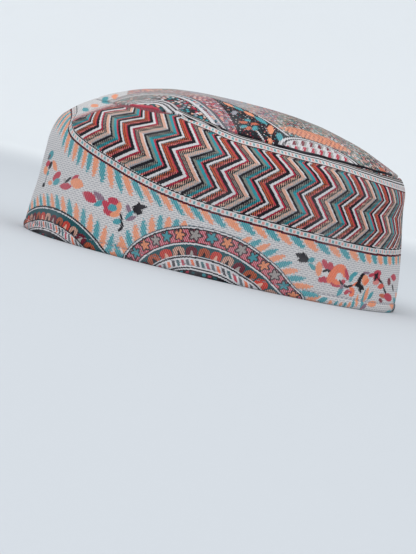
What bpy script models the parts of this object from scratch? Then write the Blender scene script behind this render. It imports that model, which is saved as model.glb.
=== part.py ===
"""Brimless woven cap: a side band and a shallow domed crown, sewn along one seam.

The cap stands on its rim with the front to -Y and the wearer's left to +X.
Lengths are millimetres until the meshes are written in metres.
"""

import math

import bpy

# Plan of the rim: an oval, a little broader behind than in front.
HALF_LENGTH = 101.0
HALF_WIDTH = 87.7
BROADER_BEHIND = 0.10

# Height of the band's top corner above the rim, and how far it leans in.
CORNER_HEIGHT = 65.4
CORNER_DROP_IN_FRONT = 0.8
CORNER_INSET = 11.8

# Lean of the band: share of the corner's height, inset in front, inset behind.
BAND_LEAN = (
    (0.00, 0.00, 0.00),
    (0.22, 0.75, 1.70),
    (0.45, 1.75, 3.50),
    (0.62, 2.10, 5.50),
    (0.78, 2.70, 7.50),
    (0.91, 5.90, 9.40),
    (1.00, 11.80, 11.80),
)

# Crown: rise over the corner, how full the dome is, and its highest point.
DOME_RISE = 21.6
DOME_POWER = 2.48
APEX_Y = -12.3

# By degrees from the front: how softly the top corner is rounded, and how far
# up the cloth, measured along it from the rim, the crown seam lies.
CORNER_AND_SEAM = (
    (0.0, 3.5, 78.6),
    (10.0, 3.5, 79.0),
    (20.0, 4.5, 80.3),
    (30.0, 7.5, 81.2),
    (40.0, 10.5, 80.2),
    (52.0, 11.0, 77.6),
    (64.0, 9.5, 75.4),
    (80.0, 7.0, 73.6),
    (100.0, 4.5, 72.0),
    (125.0, 4.0, 70.4),
    (150.0, 4.0, 69.8),
    (180.0, 4.0, 69.6),
)

# Cloth.
WALL = 2.0
HEM_WALL = 2.6
HEM_DEPTH = 4.5
RIM_CHAMFER = 0.4
SEAM_GAP = 0.4

# Mesh.
COLUMNS = 100
STRAIGHT_ROWS = 7
CORNER_ROWS = 2
OVER_CORNER_ROWS = 3
CROWN_ROWS = 9
PROFILE_STEPS = 60

MM = 0.001


def smooth_value(x, table, column):
    """Value of a table's column at x, on a smooth curve through its rows."""
    last = len(table) - 1
    i = 0
    while i < last - 1 and x > table[i + 1][0]:
        i += 1
    x0, x1 = table[i][0], table[i + 1][0]
    y0, y1 = table[i][column], table[i + 1][column]
    span = x1 - x0
    slope = (y1 - y0) / span
    before = slope
    after = slope
    if i > 0:
        before = (y1 - table[i - 1][column]) / (x1 - table[i - 1][0])
    if i + 1 < last:
        after = (table[i + 2][column] - y0) / (table[i + 2][0] - x0)
    t = min(max((x - x0) / span, 0.0), 1.0)
    return (
        y0 * (1 + 2 * t) * (1 - t) ** 2
        + before * span * t * (1 - t) ** 2
        + y1 * t * t * (3 - 2 * t)
        - after * span * t * t * (1 - t)
    )


def degrees_from_front(angle):
    """Angle from the front, 0 to 180 degrees, alike on both sides."""
    turned = (angle + math.pi) % (2 * math.pi) - math.pi
    return abs(math.degrees(turned))


def oval(angle, inset):
    """Point of the plan at an angle from the front, moved in by an inset."""
    width = (HALF_WIDTH - inset) * (1 - BROADER_BEHIND * math.cos(angle))
    return width * math.sin(angle), -(HALF_LENGTH - inset) * math.cos(angle)


def corner_height(angle):
    return CORNER_HEIGHT - CORNER_DROP_IN_FRONT * math.cos(angle)


def band_point(angle, share):
    """Point on the band's outer face at a share of the corner's height."""
    front = smooth_value(share, BAND_LEAN, 1)
    behind = smooth_value(share, BAND_LEAN, 2)
    inset = behind + (front - behind) * (0.5 + 0.5 * math.cos(angle))
    x, y = oval(angle, inset)
    return (x, y, corner_height(angle) * share)


def crown_point(angle, share):
    """Point on the crown's outer face, share 1 at the corner and 0 on top."""
    x, y = oval(angle, CORNER_INSET)
    z = corner_height(angle) * share + CORNER_HEIGHT * (1 - share)
    z += DOME_RISE * (1 - share**DOME_POWER)
    return (x * share, y * share + APEX_Y * (1 - share), z)


def mix(a, b, t):
    return tuple(p + (q - p) * t for p, q in zip(a, b))


def profile(angle):
    """Outer profile from rim to top at one angle, the corner's place along it
    and the length over which the corner is rounded."""
    soft = smooth_value(degrees_from_front(angle), CORNER_AND_SEAM, 1)
    low = 1 - soft / CORNER_HEIGHT
    corner = crown_point(angle, 1.0)
    run = math.dist(corner, crown_point(angle, 0.97)) / 0.03
    high = 1 - soft / run
    points = [band_point(angle, low * i / PROFILE_STEPS) for i in range(PROFILE_STEPS)]
    start = band_point(angle, low)
    end = crown_point(angle, high)
    for i in range(13):
        t = i / 12
        points.append(mix(mix(start, corner, t), mix(corner, end, t), t))
    for i in range(1, PROFILE_STEPS + 1):
        points.append(crown_point(angle, high * (1 - i / PROFILE_STEPS)))
    lengths = [0.0]
    for a, b in zip(points, points[1:]):
        lengths.append(lengths[-1] + math.dist(a, b))
    return points, lengths, lengths[PROFILE_STEPS + 6], soft


def along(points, lengths, s):
    """Point at a length along a profile."""
    s = min(max(s, 0.0), lengths[-1])
    i = 0
    while i < len(lengths) - 2 and lengths[i + 1] < s:
        i += 1
    return mix(points[i], points[i + 1], (s - lengths[i]) / (lengths[i + 1] - lengths[i]))


def unit(v):
    size = math.sqrt(sum(c * c for c in v)) or 1.0
    return tuple(c / size for c in v)


def outward(angle, s):
    """Outward normal of the outer face at an angle and a length up it."""
    step = 0.5
    here = profile(angle)
    up = [q - p for p, q in zip(along(here[0], here[1], s - step), along(here[0], here[1], s + step))]
    left = profile(angle - 0.01)
    right = profile(angle + 0.01)
    side = [q - p for p, q in zip(along(left[0], left[1], s), along(right[0], right[1], s))]
    n = (
        side[1] * up[2] - side[2] * up[1],
        side[2] * up[0] - side[0] * up[2],
        side[0] * up[1] - side[1] * up[0],
    )
    return unit(n)


def thickness(s):
    return HEM_WALL if s <= HEM_DEPTH else WALL


def outer_and_inner(angle, stations):
    """Outer points at lengths up the cloth, and the inner points behind them."""
    points, lengths, _, _ = profile(angle)
    outer = []
    inner = []
    for s in stations:
        p = along(points, lengths, s)
        n = outward(angle, s) if s < lengths[-1] - 1.0 else (0.0, 0.0, 1.0)
        outer.append(p)
        inner.append(tuple(c - k * thickness(s) for c, k in zip(p, n)))
    return outer, inner


def band_column(angle):
    """One closed section of the band: up the outside, down the inside."""
    points, lengths, corner, soft = profile(angle)
    seam = smooth_value(degrees_from_front(angle), CORNER_AND_SEAM, 2) - SEAM_GAP / 2
    below = corner - soft
    stations = [RIM_CHAMFER, HEM_DEPTH, HEM_DEPTH + 1.0]
    first = stations[-1]
    for i in range(1, STRAIGHT_ROWS + 1):
        stations.append(first + (below - first) * i / STRAIGHT_ROWS)
    for i in range(1, CORNER_ROWS + 1):
        stations.append(below + soft * i / CORNER_ROWS)
    for i in range(1, OVER_CORNER_ROWS + 1):
        stations.append(corner + (seam - corner) * i / OVER_CORNER_ROWS)
    outer, inner = outer_and_inner(angle, stations)
    n = unit((outward(angle, 1.0)[0], outward(angle, 1.0)[1], 0.0))
    foot = points[0]
    outer_foot = (foot[0] - n[0] * RIM_CHAMFER, foot[1] - n[1] * RIM_CHAMFER, 0.0)
    deep = HEM_WALL - RIM_CHAMFER
    inner_foot = (foot[0] - n[0] * deep, foot[1] - n[1] * deep, 0.0)
    return [outer_foot] + outer + inner[::-1] + [inner_foot]


def crown_column(angle):
    """One section of the crown, from under the seam edge up and over it."""
    points, lengths, _, _ = profile(angle)
    seam = smooth_value(degrees_from_front(angle), CORNER_AND_SEAM, 2) + SEAM_GAP / 2
    top = lengths[-1]
    stations = [seam + (top - seam) * i / CROWN_ROWS for i in range(CROWN_ROWS)]
    outer, inner = outer_and_inner(angle, stations)
    return outer, inner


def add_object(name, vertices, faces, colour, roughness):
    """Object with a Principled material, its vertices given in millimetres."""
    mesh = bpy.data.meshes.new(name)
    mesh.from_pydata([[c * MM for c in v] for v in vertices], [], faces)
    mesh.validate()
    mesh.update()
    piece = bpy.data.objects.new(name, mesh)
    bpy.context.scene.collection.objects.link(piece)
    material = bpy.data.materials.new(name + "_cloth")
    material.use_nodes = True
    shader = material.node_tree.nodes["Principled BSDF"]
    shader.inputs["Base Color"].default_value = (*colour, 1.0)
    shader.inputs["Roughness"].default_value = roughness
    material.diffuse_color = (*colour, 1.0)
    mesh.materials.append(material)
    return piece


def side_band():
    columns = [band_column(2 * math.pi * i / COLUMNS) for i in range(COLUMNS)]
    rows = len(columns[0])
    vertices = [p for column in columns for p in column]
    faces = []
    for i in range(COLUMNS):
        a = i * rows
        b = ((i + 1) % COLUMNS) * rows
        for j in range(rows):
            k = (j + 1) % rows
            faces.append((a + j, b + j, b + k))
            faces.append((a + j, b + k, a + k))
    return add_object("side_band", vertices, faces, (0.45, 0.36, 0.36), 0.9)


def crown():
    outer_rows = []
    inner_rows = []
    for i in range(COLUMNS):
        outer, inner = crown_column(2 * math.pi * i / COLUMNS)
        outer_rows.append(outer)
        inner_rows.append(inner)
    vertices = [p for column in outer_rows for p in column]
    inner_start = len(vertices)
    vertices += [p for column in inner_rows for p in column]
    top = (0.0, APEX_Y, CORNER_HEIGHT + DOME_RISE)
    vertices.append(top)
    vertices.append((0.0, APEX_Y, top[2] - WALL))
    top_outer = len(vertices) - 2
    top_inner = len(vertices) - 1
    faces = []
    for i in range(COLUMNS):
        a = i * CROWN_ROWS
        b = ((i + 1) % COLUMNS) * CROWN_ROWS
        c = inner_start + a
        d = inner_start + b
        for j in range(CROWN_ROWS - 1):
            faces.append((a + j, b + j, b + j + 1))
            faces.append((a + j, b + j + 1, a + j + 1))
            faces.append((c + j, d + j + 1, d + j))
            faces.append((c + j, c + j + 1, d + j + 1))
        faces.append((a + CROWN_ROWS - 1, b + CROWN_ROWS - 1, top_outer))
        faces.append((c + CROWN_ROWS - 1, top_inner, d + CROWN_ROWS - 1))
        faces.append((a, c, d))
        faces.append((a, d, b))
    return add_object("crown", vertices, faces, (0.40, 0.30, 0.30), 0.9)


def main():
    for piece in list(bpy.data.objects):
        bpy.data.objects.remove(piece, do_unlink=True)
    side_band()
    crown()


main()
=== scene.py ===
"""Woven cap: a leaning side band and a shallow domed crown of paisley cloth.

Run as a script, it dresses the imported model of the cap: it makes the cloth
shells, the hem's stitches and the stage. Lengths of the cloth are worked out in
millimetres, and meshes are written in metres.
"""

import functools
import math

import bpy
import numpy as np
from mathutils import Matrix, Vector, noise


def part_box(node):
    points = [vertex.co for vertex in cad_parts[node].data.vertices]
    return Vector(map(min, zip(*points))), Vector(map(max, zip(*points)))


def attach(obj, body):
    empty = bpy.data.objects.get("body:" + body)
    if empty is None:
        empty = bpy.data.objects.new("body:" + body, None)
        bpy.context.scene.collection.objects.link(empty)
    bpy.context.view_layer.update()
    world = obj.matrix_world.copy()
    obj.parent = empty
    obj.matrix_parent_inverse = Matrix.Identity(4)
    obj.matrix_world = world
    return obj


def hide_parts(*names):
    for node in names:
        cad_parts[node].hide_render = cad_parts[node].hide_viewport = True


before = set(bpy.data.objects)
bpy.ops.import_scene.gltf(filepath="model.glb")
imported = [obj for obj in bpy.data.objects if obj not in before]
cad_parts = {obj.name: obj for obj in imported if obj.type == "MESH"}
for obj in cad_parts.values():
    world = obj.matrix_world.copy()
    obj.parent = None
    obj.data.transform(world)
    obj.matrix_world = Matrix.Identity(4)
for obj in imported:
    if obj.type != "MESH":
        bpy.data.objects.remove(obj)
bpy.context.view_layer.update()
RIM_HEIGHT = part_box("side_band")[0].z

bl_info = {
    "name": "Woven Cap",
    "version": (1, 0, 0),
    "blender": (4, 5, 0),
    "location": "View3D > Sidebar > Woven Cap",
    "description": "Makes a brimless cap of woven paisley cloth and its stage",
    "category": "Object",
}

MM = 0.001
TO_MM = 1000

# Form of the cap, in millimetres, as in its solids. The front is at -Y.
HALF_LENGTH = 101.0
HALF_WIDTH = 87.7
BROADER_BEHIND = 0.10
CORNER_HEIGHT = 65.4
CORNER_DROP_IN_FRONT = 0.8
CORNER_INSET = 11.8
DOME_RISE = 21.6
DOME_POWER = 2.48
APEX_Y = -12.3

# Softness of sewn cloth: waves by height, change across, change up and start,
# the draw of the seam's stitches and how far it reaches, the length over which
# both fade out at the rim, and how full the cloth is at the top behind.
CLOTH_WAVES = ((0.75, 0.022, 0.03, 4.0), (0.22, 0.075, 0.07, -7.0))
STITCH_DRAW = 0.16
STITCH_DRAW_REACH = 4.5
EVEN_RIM = 9.0
BACK_FULLNESS = 1.1

# Lean of the band: share of the corner's height, inset in front, inset behind.
BAND_LEAN = (
    (0.00, 0.00, 0.00),
    (0.22, 0.75, 1.70),
    (0.45, 1.75, 3.50),
    (0.62, 2.10, 5.50),
    (0.78, 2.70, 7.50),
    (0.91, 5.90, 9.40),
    (1.00, 11.80, 11.80),
)

# By degrees from the front: rounding of the top corner, place of the seam.
CORNER_AND_SEAM = (
    (0.0, 3.5, 78.6),
    (10.0, 3.5, 79.0),
    (20.0, 4.5, 80.3),
    (30.0, 7.5, 81.2),
    (40.0, 10.5, 80.2),
    (52.0, 11.0, 77.6),
    (64.0, 9.5, 75.4),
    (80.0, 7.0, 73.6),
    (100.0, 4.5, 72.0),
    (125.0, 4.0, 70.4),
    (150.0, 4.0, 69.8),
    (180.0, 4.0, 69.6),
)

# Mesh of the cloth: its counts, then the steps in which its slope is read.
COLUMNS = 420
FACE_ROWS = 66
LINING_ROWS = 43
OUTER_ROWS = FACE_ROWS + 18
BAND_SECTION = OUTER_ROWS + LINING_ROWS + 5
CROWN_RINGS = 104
PROFILE_STEPS = 60
CORNER_STEPS = 12
CORNER_SAMPLE = 0.03
SLOPE_STEP = 0.6
FLAT_TOP = 0.8

# Edges of the cloth: rows of length up it and depth under its face. The fold is
# in shares of half the hem's thickness, the dimples of the stitches are from the
# stitch line, and the lips of the band and of the crown are from the seam.
HEM_FOLD = ((0.0, 1.0), (0.12, 0.5), (0.5, 0.12))
HEM_ROLL = 0.12
HEM_FACE = ((2.1, -0.24), (2.9, -0.24), (3.6, -0.16))
HEM_DIMPLES = ((-0.45, 0.10), (0.0, 0.32), (0.45, 0.12), (0.9, 0.02), (1.8, 0.0))
BAND_LIP = ((-1.0, 0.06), (-0.62, 0.24), (-0.38, 0.6), (-0.24, 1.05), (-0.2, 1.5))
CROWN_LIP = ((1.0, 0.05), (0.6, 0.22), (0.38, 0.6), (0.25, 1.1), (0.24, 1.6))
LIP = 1.5

# Map for baking: the band's face in strips one above another, its lining beside
# them by place, length there and scale, and the crown's two faces seen from
# above by place of their middle and scale, with its lip spread outwards.
BAKE_STRIPS = 3
BAKE_STRIP_RISE = 87.0
BAKE_SPAN = (260.0, 261.0)
BAKE_MARGIN = 0.004
BAKE_LINING = ((0.79, 80.0, 0.0024), (0.01, 0.0, 0.00164))
BAKE_CROWN = (0.39, 0.49, 0.00505)
BAKE_CROWN_LINING = (0.88, 0.13, 0.00125)
INNER_SPREAD = 0.014

# Stitches: how deep they sit, how far their ends sink, their rise and breadth.
STITCH_SEAT = 0.22
STITCH_ENDS = 0.30
STITCH_RISE = 0.04
STITCH_BREADTH = 1.1

# Camera of the photograph, in degrees and metres, its lens in millimetres.
CAMERA_AZIMUTH = 59.5
CAMERA_ELEVATION = 1.03
CAMERA_DISTANCE = 0.891
CAMERA_TARGET = (0.0, 0.0, 0.0396)
CAMERA_ROLL = 13.4
CAMERA_LENS = 111.6
CAMERA_SHIFT = (-0.0314, -0.152)

# Stage in metres: a round floor that sweeps up into a low wall, the distances
# over which its paper turns from the darker painted shade near the cap to the far
# colour, and the lamps by name, degrees round from the front, degrees up,
# distance and size.
FLOOR_RADIUS = 2.2
FLOOR_SIDES = 96
SWEEP_TURNS = (15, 30, 45, 60, 75, 88)
SWEEP_RISE = 0.26
SWEEP_GROWTH = 0.11
PAPER_SHADE_FADE = (0.9, 2.1)
LAMPS = (
    ("key", 15.0, 48.0, 1.9, 1.5),
    ("fill", 110.0, 30.0, 2.0, 1.8),
    ("top", 240.0, 75.0, 2.1, 1.6),
)


def linear(red, green, blue):
    """Scene-linear colour from 0 to 255 display values."""
    out = []
    for level in (red, green, blue):
        share = level / 255
        out.append(share / 12.92 if share <= 0.04045 else ((share + 0.055) / 1.055) ** 2.4)
    return tuple(out)


# Form of the cap


def smooth_value(x, table, column):
    """Value of a table's column at x, on a smooth curve through its rows."""
    last = len(table) - 1
    i = 0
    while i < last - 1 and x > table[i + 1][0]:
        i += 1
    x0, x1 = table[i][0], table[i + 1][0]
    y0, y1 = table[i][column], table[i + 1][column]
    span = x1 - x0
    slope = (y1 - y0) / span
    before = slope
    after = slope
    if i > 0:
        before = (y1 - table[i - 1][column]) / (x1 - table[i - 1][0])
    if i + 1 < last:
        after = (table[i + 2][column] - y0) / (table[i + 2][0] - x0)
    t = min(max((x - x0) / span, 0.0), 1.0)
    return (
        y0 * (1 + 2 * t) * (1 - t) ** 2
        + before * span * t * (1 - t) ** 2
        + y1 * t * t * (3 - 2 * t)
        - after * span * t * t * (1 - t)
    )


def degrees_from_front(angle):
    """Angle from the front, 0 to 180 degrees, alike on both sides."""
    turned = (angle + math.pi) % (2 * math.pi) - math.pi
    return abs(math.degrees(turned))


def oval(angle, inset):
    """Point of the plan at an angle from the front, moved in by an inset."""
    width = (HALF_WIDTH - inset) * (1 - BROADER_BEHIND * math.cos(angle))
    return width * math.sin(angle), -(HALF_LENGTH - inset) * math.cos(angle)


def corner_height(angle):
    """Height of the band's top corner at an angle from the front."""
    return CORNER_HEIGHT - CORNER_DROP_IN_FRONT * math.cos(angle)


def band_point(angle, share):
    """Point on the band's outer face at a share of the corner's height."""
    front = smooth_value(share, BAND_LEAN, 1)
    behind = smooth_value(share, BAND_LEAN, 2)
    inset = behind + (front - behind) * (0.5 + 0.5 * math.cos(angle))
    x, y = oval(angle, inset)
    return np.array((x, y, corner_height(angle) * share))


def crown_point(angle, share):
    """Point on the crown's outer face, share 1 at the corner and 0 on top."""
    x, y = oval(angle, CORNER_INSET)
    z = corner_height(angle) * share + CORNER_HEIGHT * (1 - share)
    z += DOME_RISE * (1 - share**DOME_POWER)
    return np.array((x * share, y * share + APEX_Y * (1 - share), z))


def profile(angle):
    """Outer profile from rim to top at one angle, and the lengths along it."""
    soft = smooth_value(degrees_from_front(angle), CORNER_AND_SEAM, 1)
    low = 1 - soft / CORNER_HEIGHT
    corner = crown_point(angle, 1.0)
    run = np.linalg.norm(corner - crown_point(angle, 1 - CORNER_SAMPLE)) / CORNER_SAMPLE
    high = 1 - soft / run
    points = [band_point(angle, low * i / PROFILE_STEPS) for i in range(PROFILE_STEPS)]
    start = band_point(angle, low)
    end = crown_point(angle, high)
    for t in np.linspace(0, 1, CORNER_STEPS + 1):
        one = start + (corner - start) * t
        two = corner + (end - corner) * t
        points.append(one + (two - one) * t)
    for i in range(1, PROFILE_STEPS + 1):
        points.append(crown_point(angle, high * (1 - i / PROFILE_STEPS)))
    points = np.array(points)
    steps = np.linalg.norm(np.diff(points, axis=0), axis=1)
    return points, np.concatenate(([0.0], np.cumsum(steps)))


def seam_at(angle):
    """Length up the cloth from the rim to the crown seam."""
    return smooth_value(degrees_from_front(angle), CORNER_AND_SEAM, 2)


def unit(vectors):
    """Directions one unit long."""
    size = np.linalg.norm(vectors, axis=-1, keepdims=True)
    return vectors / np.maximum(size, 1e-9)


class Form:
    """The cap's outer face, read by column round it and by length up it."""

    def __init__(self):
        angles = [2 * math.pi * i / COLUMNS for i in range(COLUMNS)]
        self.profiles = [profile(angle) for angle in angles]
        self.seams = np.array([seam_at(angle) for angle in angles])
        rim = np.array([p[0][0] for p in self.profiles])
        sides = np.linalg.norm(np.roll(rim, -1, axis=0) - rim, axis=1)
        self.around = np.concatenate(([0.0], np.cumsum(sides)))
        self.girth = self.around[-1]

    def tops(self):
        """Length up the cloth to the top of the crown, by column."""
        return np.array([p[1][-1] for p in self.profiles])

    def points(self, stations):
        """Points at each column's own list of lengths up the cloth."""
        out = np.zeros((*stations.shape, 3))
        for i, (line, lengths) in enumerate(self.profiles):
            for axis in range(3):
                out[i, :, axis] = np.interp(stations[i], lengths, line[:, axis])
        return out

    def shell(self, stations, depths):
        """Points at lengths up the cloth and depths under its outer face."""
        here = self.points(stations)
        up = self.points(stations + SLOPE_STEP) - self.points(stations - SLOPE_STEP)
        side = np.roll(here, -1, axis=0) - np.roll(here, 1, axis=0)
        out = unit(np.cross(side, up))
        on_top = stations > self.tops()[:, None] - FLAT_TOP
        out[on_top] = (0.0, 0.0, 1.0)
        relief = self.relief(here, stations)
        return here + out * (relief - depths)[:, :, None]

    def relief(self, here, stations):
        """Soft unevenness of sewn cloth, and the draw of the seam's stitches."""
        relief = np.zeros(stations.shape)
        for i, k in np.ndindex(stations.shape):
            x, y, z = here[i, k]
            for height, across, up, begin in CLOTH_WAVES:
                wave = Vector((x * across, y * across, z * up + begin))
                relief[i, k] += height * noise.noise(wave)
        along = self.around[:-1][:, None]
        away = np.abs(stations - self.seams[:, None])
        draw = np.sin(along / 2.9) + 0.7 * np.sin(along / 4.7 + 1.3)
        relief += STITCH_DRAW * draw * np.exp(-away / STITCH_DRAW_REACH)
        relief *= np.clip(stations / EVEN_RIM, 0.0, 1.0)
        back = np.clip((here[:, :, 1] + 25.0) / 60.0, 0.0, 1.0)
        high = np.clip((here[:, :, 2] - 50.0) / 14.0, 0.0, 1.0)
        relief += BACK_FULLNESS * back * back * (3 - 2 * back) * high * high * (3 - 2 * high)
        return relief


@functools.lru_cache(maxsize=1)
def cap_form():
    """The form, worked out once for all pieces."""
    return Form()


# Meshes


def start_primitive(add, **sizes):
    """Adds a primitive with nothing else selected and gives its object."""
    bpy.ops.object.select_all(action="DESELECT")
    add(**sizes)
    return bpy.context.object


def finish_piece(piece, name, body, nodes=()):
    """Names a finished piece and declares what it is to the frame."""
    piece.name = name
    piece.data.name = name
    bpy.ops.object.select_all(action="DESELECT")
    piece.select_set(True)
    bpy.context.view_layer.objects.active = piece
    bpy.ops.object.transform_apply(location=True, rotation=True, scale=True)
    bpy.ops.object.mode_set(mode="EDIT")
    bpy.ops.mesh.select_all(action="SELECT")
    bpy.ops.mesh.normals_make_consistent(inside=False)
    bpy.ops.object.mode_set(mode="OBJECT")
    bpy.ops.object.shade_smooth()
    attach(piece, body)
    if nodes:
        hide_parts(*nodes)
    piece.select_set(False)


def vertex_places(mesh):
    """Places of a primitive's vertices, a row for each."""
    places = np.zeros(len(mesh.vertices) * 3)
    mesh.vertices.foreach_get("co", places)
    return places.reshape(-1, 3)


def columns_of(places):
    """Column of the cap that each vertex of a round primitive becomes."""
    around = np.arctan2(places[:, 1], places[:, 0]) + math.pi / 2
    return np.round(around / (2 * math.pi) * COLUMNS).astype(int) % COLUMNS


def place_vertices(mesh, points):
    """Moves a primitive's vertices to points given in millimetres."""
    mesh.vertices.foreach_set("co", (points * MM).astype(np.float32).ravel())
    mesh.update()


def loop_columns(mesh, column, row, columns, rows):
    """Column and row of every face corner, counted on across the closing edge."""
    corners = np.zeros(len(mesh.loops), dtype=np.int64)
    mesh.loops.foreach_get("vertex_index", corners)
    starts = np.zeros(len(mesh.polygons), dtype=np.int64)
    totals = np.zeros(len(mesh.polygons), dtype=np.int64)
    mesh.polygons.foreach_get("loop_start", starts)
    mesh.polygons.foreach_get("loop_total", totals)
    face = np.repeat(np.arange(len(starts)), totals)
    found = []
    for values, count in ((column[corners], columns), (row[corners], rows)):
        lowest = lowest_of_face(values, face)
        highest = -lowest_of_face(-values, face)
        wraps = (highest - lowest)[face] > count // 2
        values[wraps & (values < count // 2)] += count
        found.append(values)
    at_column, at_row = found
    first = lowest_of_face(at_column, face)
    low_row = lowest_of_face(at_row, face)
    return corners, face, at_column, at_row, first, low_row


def lowest_of_face(values, face):
    """Lowest value among each face's corners."""
    lowest = np.full(face[-1] + 1, values.max())
    np.minimum.at(lowest, face, values)
    return lowest


def add_uv(mesh, name, u, v):
    """New UV map from the two places of every face corner."""
    layer = mesh.uv_layers.new(name=name)
    layer.data.foreach_set("uv", np.stack([u, v], axis=1).astype(np.float32).ravel())


def add_seam_distance(mesh, distance):
    """Keeps each vertex's distance to the crown seam for the cloth's pattern."""
    to_seam = mesh.attributes.new("to_seam", "FLOAT", "POINT")
    to_seam.data.foreach_set("value", (distance * MM).astype(np.float32))


def even_rows(first, last, count, depth):
    """Rows of one depth at even lengths, from after the first to the last."""
    return [(first + (last - first) * i / count, depth) for i in range(1, count + 1)]


def in_tables(sections):
    """Lengths up the cloth and depths, as two tables with a line for each column."""
    both = np.array(sections)
    return both[:, :, 0], both[:, :, 1]


def band_section(seam, sizes):
    """Wall of the band at one column: rows of length up the cloth and depth."""
    wall = sizes.wall * TO_MM
    hem_wall = sizes.hem_wall * TO_MM
    hem = sizes.hem_depth * TO_MM
    fold = hem_wall / 2
    rows = [(s * fold, d * fold) for s, d in HEM_FOLD]
    rows += [(fold, -HEM_ROLL), *HEM_FACE]
    rows += [(hem + s, d) for s, d in HEM_DIMPLES]
    rows += even_rows(rows[-1][0], seam - LIP, FACE_ROWS, 0.0)
    rows += [(seam + s, d) for s, d in BAND_LIP]
    rows += [(seam - 0.3, 0.95 * wall), (seam - LIP, wall)]
    rows += even_rows(seam - LIP, hem + 0.8, LINING_ROWS - 1, wall)
    rows += [(hem, wall + 0.15), (hem - 0.5, hem_wall), (fold + 0.8, hem_wall)]
    rows += [(d * fold, hem_wall - s * fold) for s, d in HEM_FOLD[1:]]
    return rows


class WOVENCAP_OT_side_band(bpy.types.Operator):
    """Makes the band of cloth from the folded hem up to the crown seam"""

    bl_idname = "woven_cap.side_band"
    bl_label = "Side band"

    def execute(self, context):
        sizes = context.scene.woven_cap_sizes
        form = cap_form()
        stations, depths = in_tables([band_section(seam, sizes) for seam in form.seams])
        points = form.shell(stations, depths)
        points[:, :, 2] = np.maximum(points[:, :, 2], 0.0)
        piece = start_primitive(
            bpy.ops.mesh.primitive_torus_add,
            major_segments=COLUMNS,
            minor_segments=BAND_SECTION,
            major_radius=1.0,
            minor_radius=0.4,
            generate_uvs=False,
        )
        mesh = piece.data
        places = vertex_places(mesh)
        column = columns_of(places)
        out = np.hypot(places[:, 0], places[:, 1]) - 1.0
        turn = np.arctan2(places[:, 2], out) + math.pi / 2
        row = np.round(turn / (2 * math.pi) * BAND_SECTION).astype(int) % BAND_SECTION
        place_vertices(mesh, points[column, row])
        self.add_maps(mesh, form, points, stations, column, row)
        mesh.materials.append(band_cloth(context))
        mesh.materials.append(plain_cloth(context))
        finish_piece(piece, "woven_side_band", "root", ["side_band"])
        return {"FINISHED"}

    def add_maps(self, mesh, form, points, stations, column, row):
        """Fabric coordinates, distance to the seam, and the map for baking."""
        found = loop_columns(mesh, column, row, COLUMNS, BAND_SECTION)
        _, face, at_column, at_row, first, low_row = found
        around = form.around[np.minimum(at_column, COLUMNS)]
        u = np.where(first[face] >= COLUMNS // 2, around - form.girth, around)
        turned_in = BAND_SECTION - 4
        v = stations[at_column % COLUMNS, at_row % BAND_SECTION]
        v = np.where((low_row[face] >= turned_in) & (at_row < BAND_SECTION), -v - 2.0, v)
        v = np.where(at_row == BAND_SECTION, 0.0, v)
        add_uv(mesh, "cloth", u * MM, v * MM)
        ring = np.concatenate([points, points[:, :1]], axis=1)
        steps = np.linalg.norm(np.diff(ring, axis=1), axis=2)
        lengths = np.concatenate([np.zeros((COLUMNS, 1)), np.cumsum(steps, axis=1)], axis=1)
        length = lengths[at_column % COLUMNS, at_row]
        strip = (first[face] * BAKE_STRIPS) // COLUMNS
        out_u = (around - form.around[strip * COLUMNS // BAKE_STRIPS]) / BAKE_SPAN[0] + BAKE_MARGIN
        out_v = (length + strip * BAKE_STRIP_RISE) / BAKE_SPAN[1] + BAKE_MARGIN
        middle, begin, scale = BAKE_LINING[0]
        in_u = middle + (length - begin) * scale
        middle, begin, scale = BAKE_LINING[1]
        in_v = middle + (around - begin) * scale
        outer = low_row[face] < OUTER_ROWS - 1
        add_uv(mesh, "OFBake", np.where(outer, out_u, in_u), np.where(outer, out_v, in_v))
        add_seam_distance(mesh, (form.seams[:, None] - stations)[column, row])
        inside = (low_row >= OUTER_ROWS - 1) & (low_row < turned_in)
        mesh.polygons.foreach_set("material_index", inside.astype(np.int32))


def crown_section(seam, top, wall):
    """Wall of the crown at one column, from its top out to the seam and back."""
    face_rows = CROWN_RINGS // 2 - 5
    rows = [(top - (top - seam - LIP) * i / face_rows, 0.0) for i in range(face_rows + 1)]
    rows += [(seam + s, d) for s, d in CROWN_LIP]
    rows += [(seam + 0.4, 0.97 * wall), (seam + LIP, wall)]
    rows += even_rows(seam + LIP, top, CROWN_RINGS + 1 - len(rows), wall)
    return rows


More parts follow.
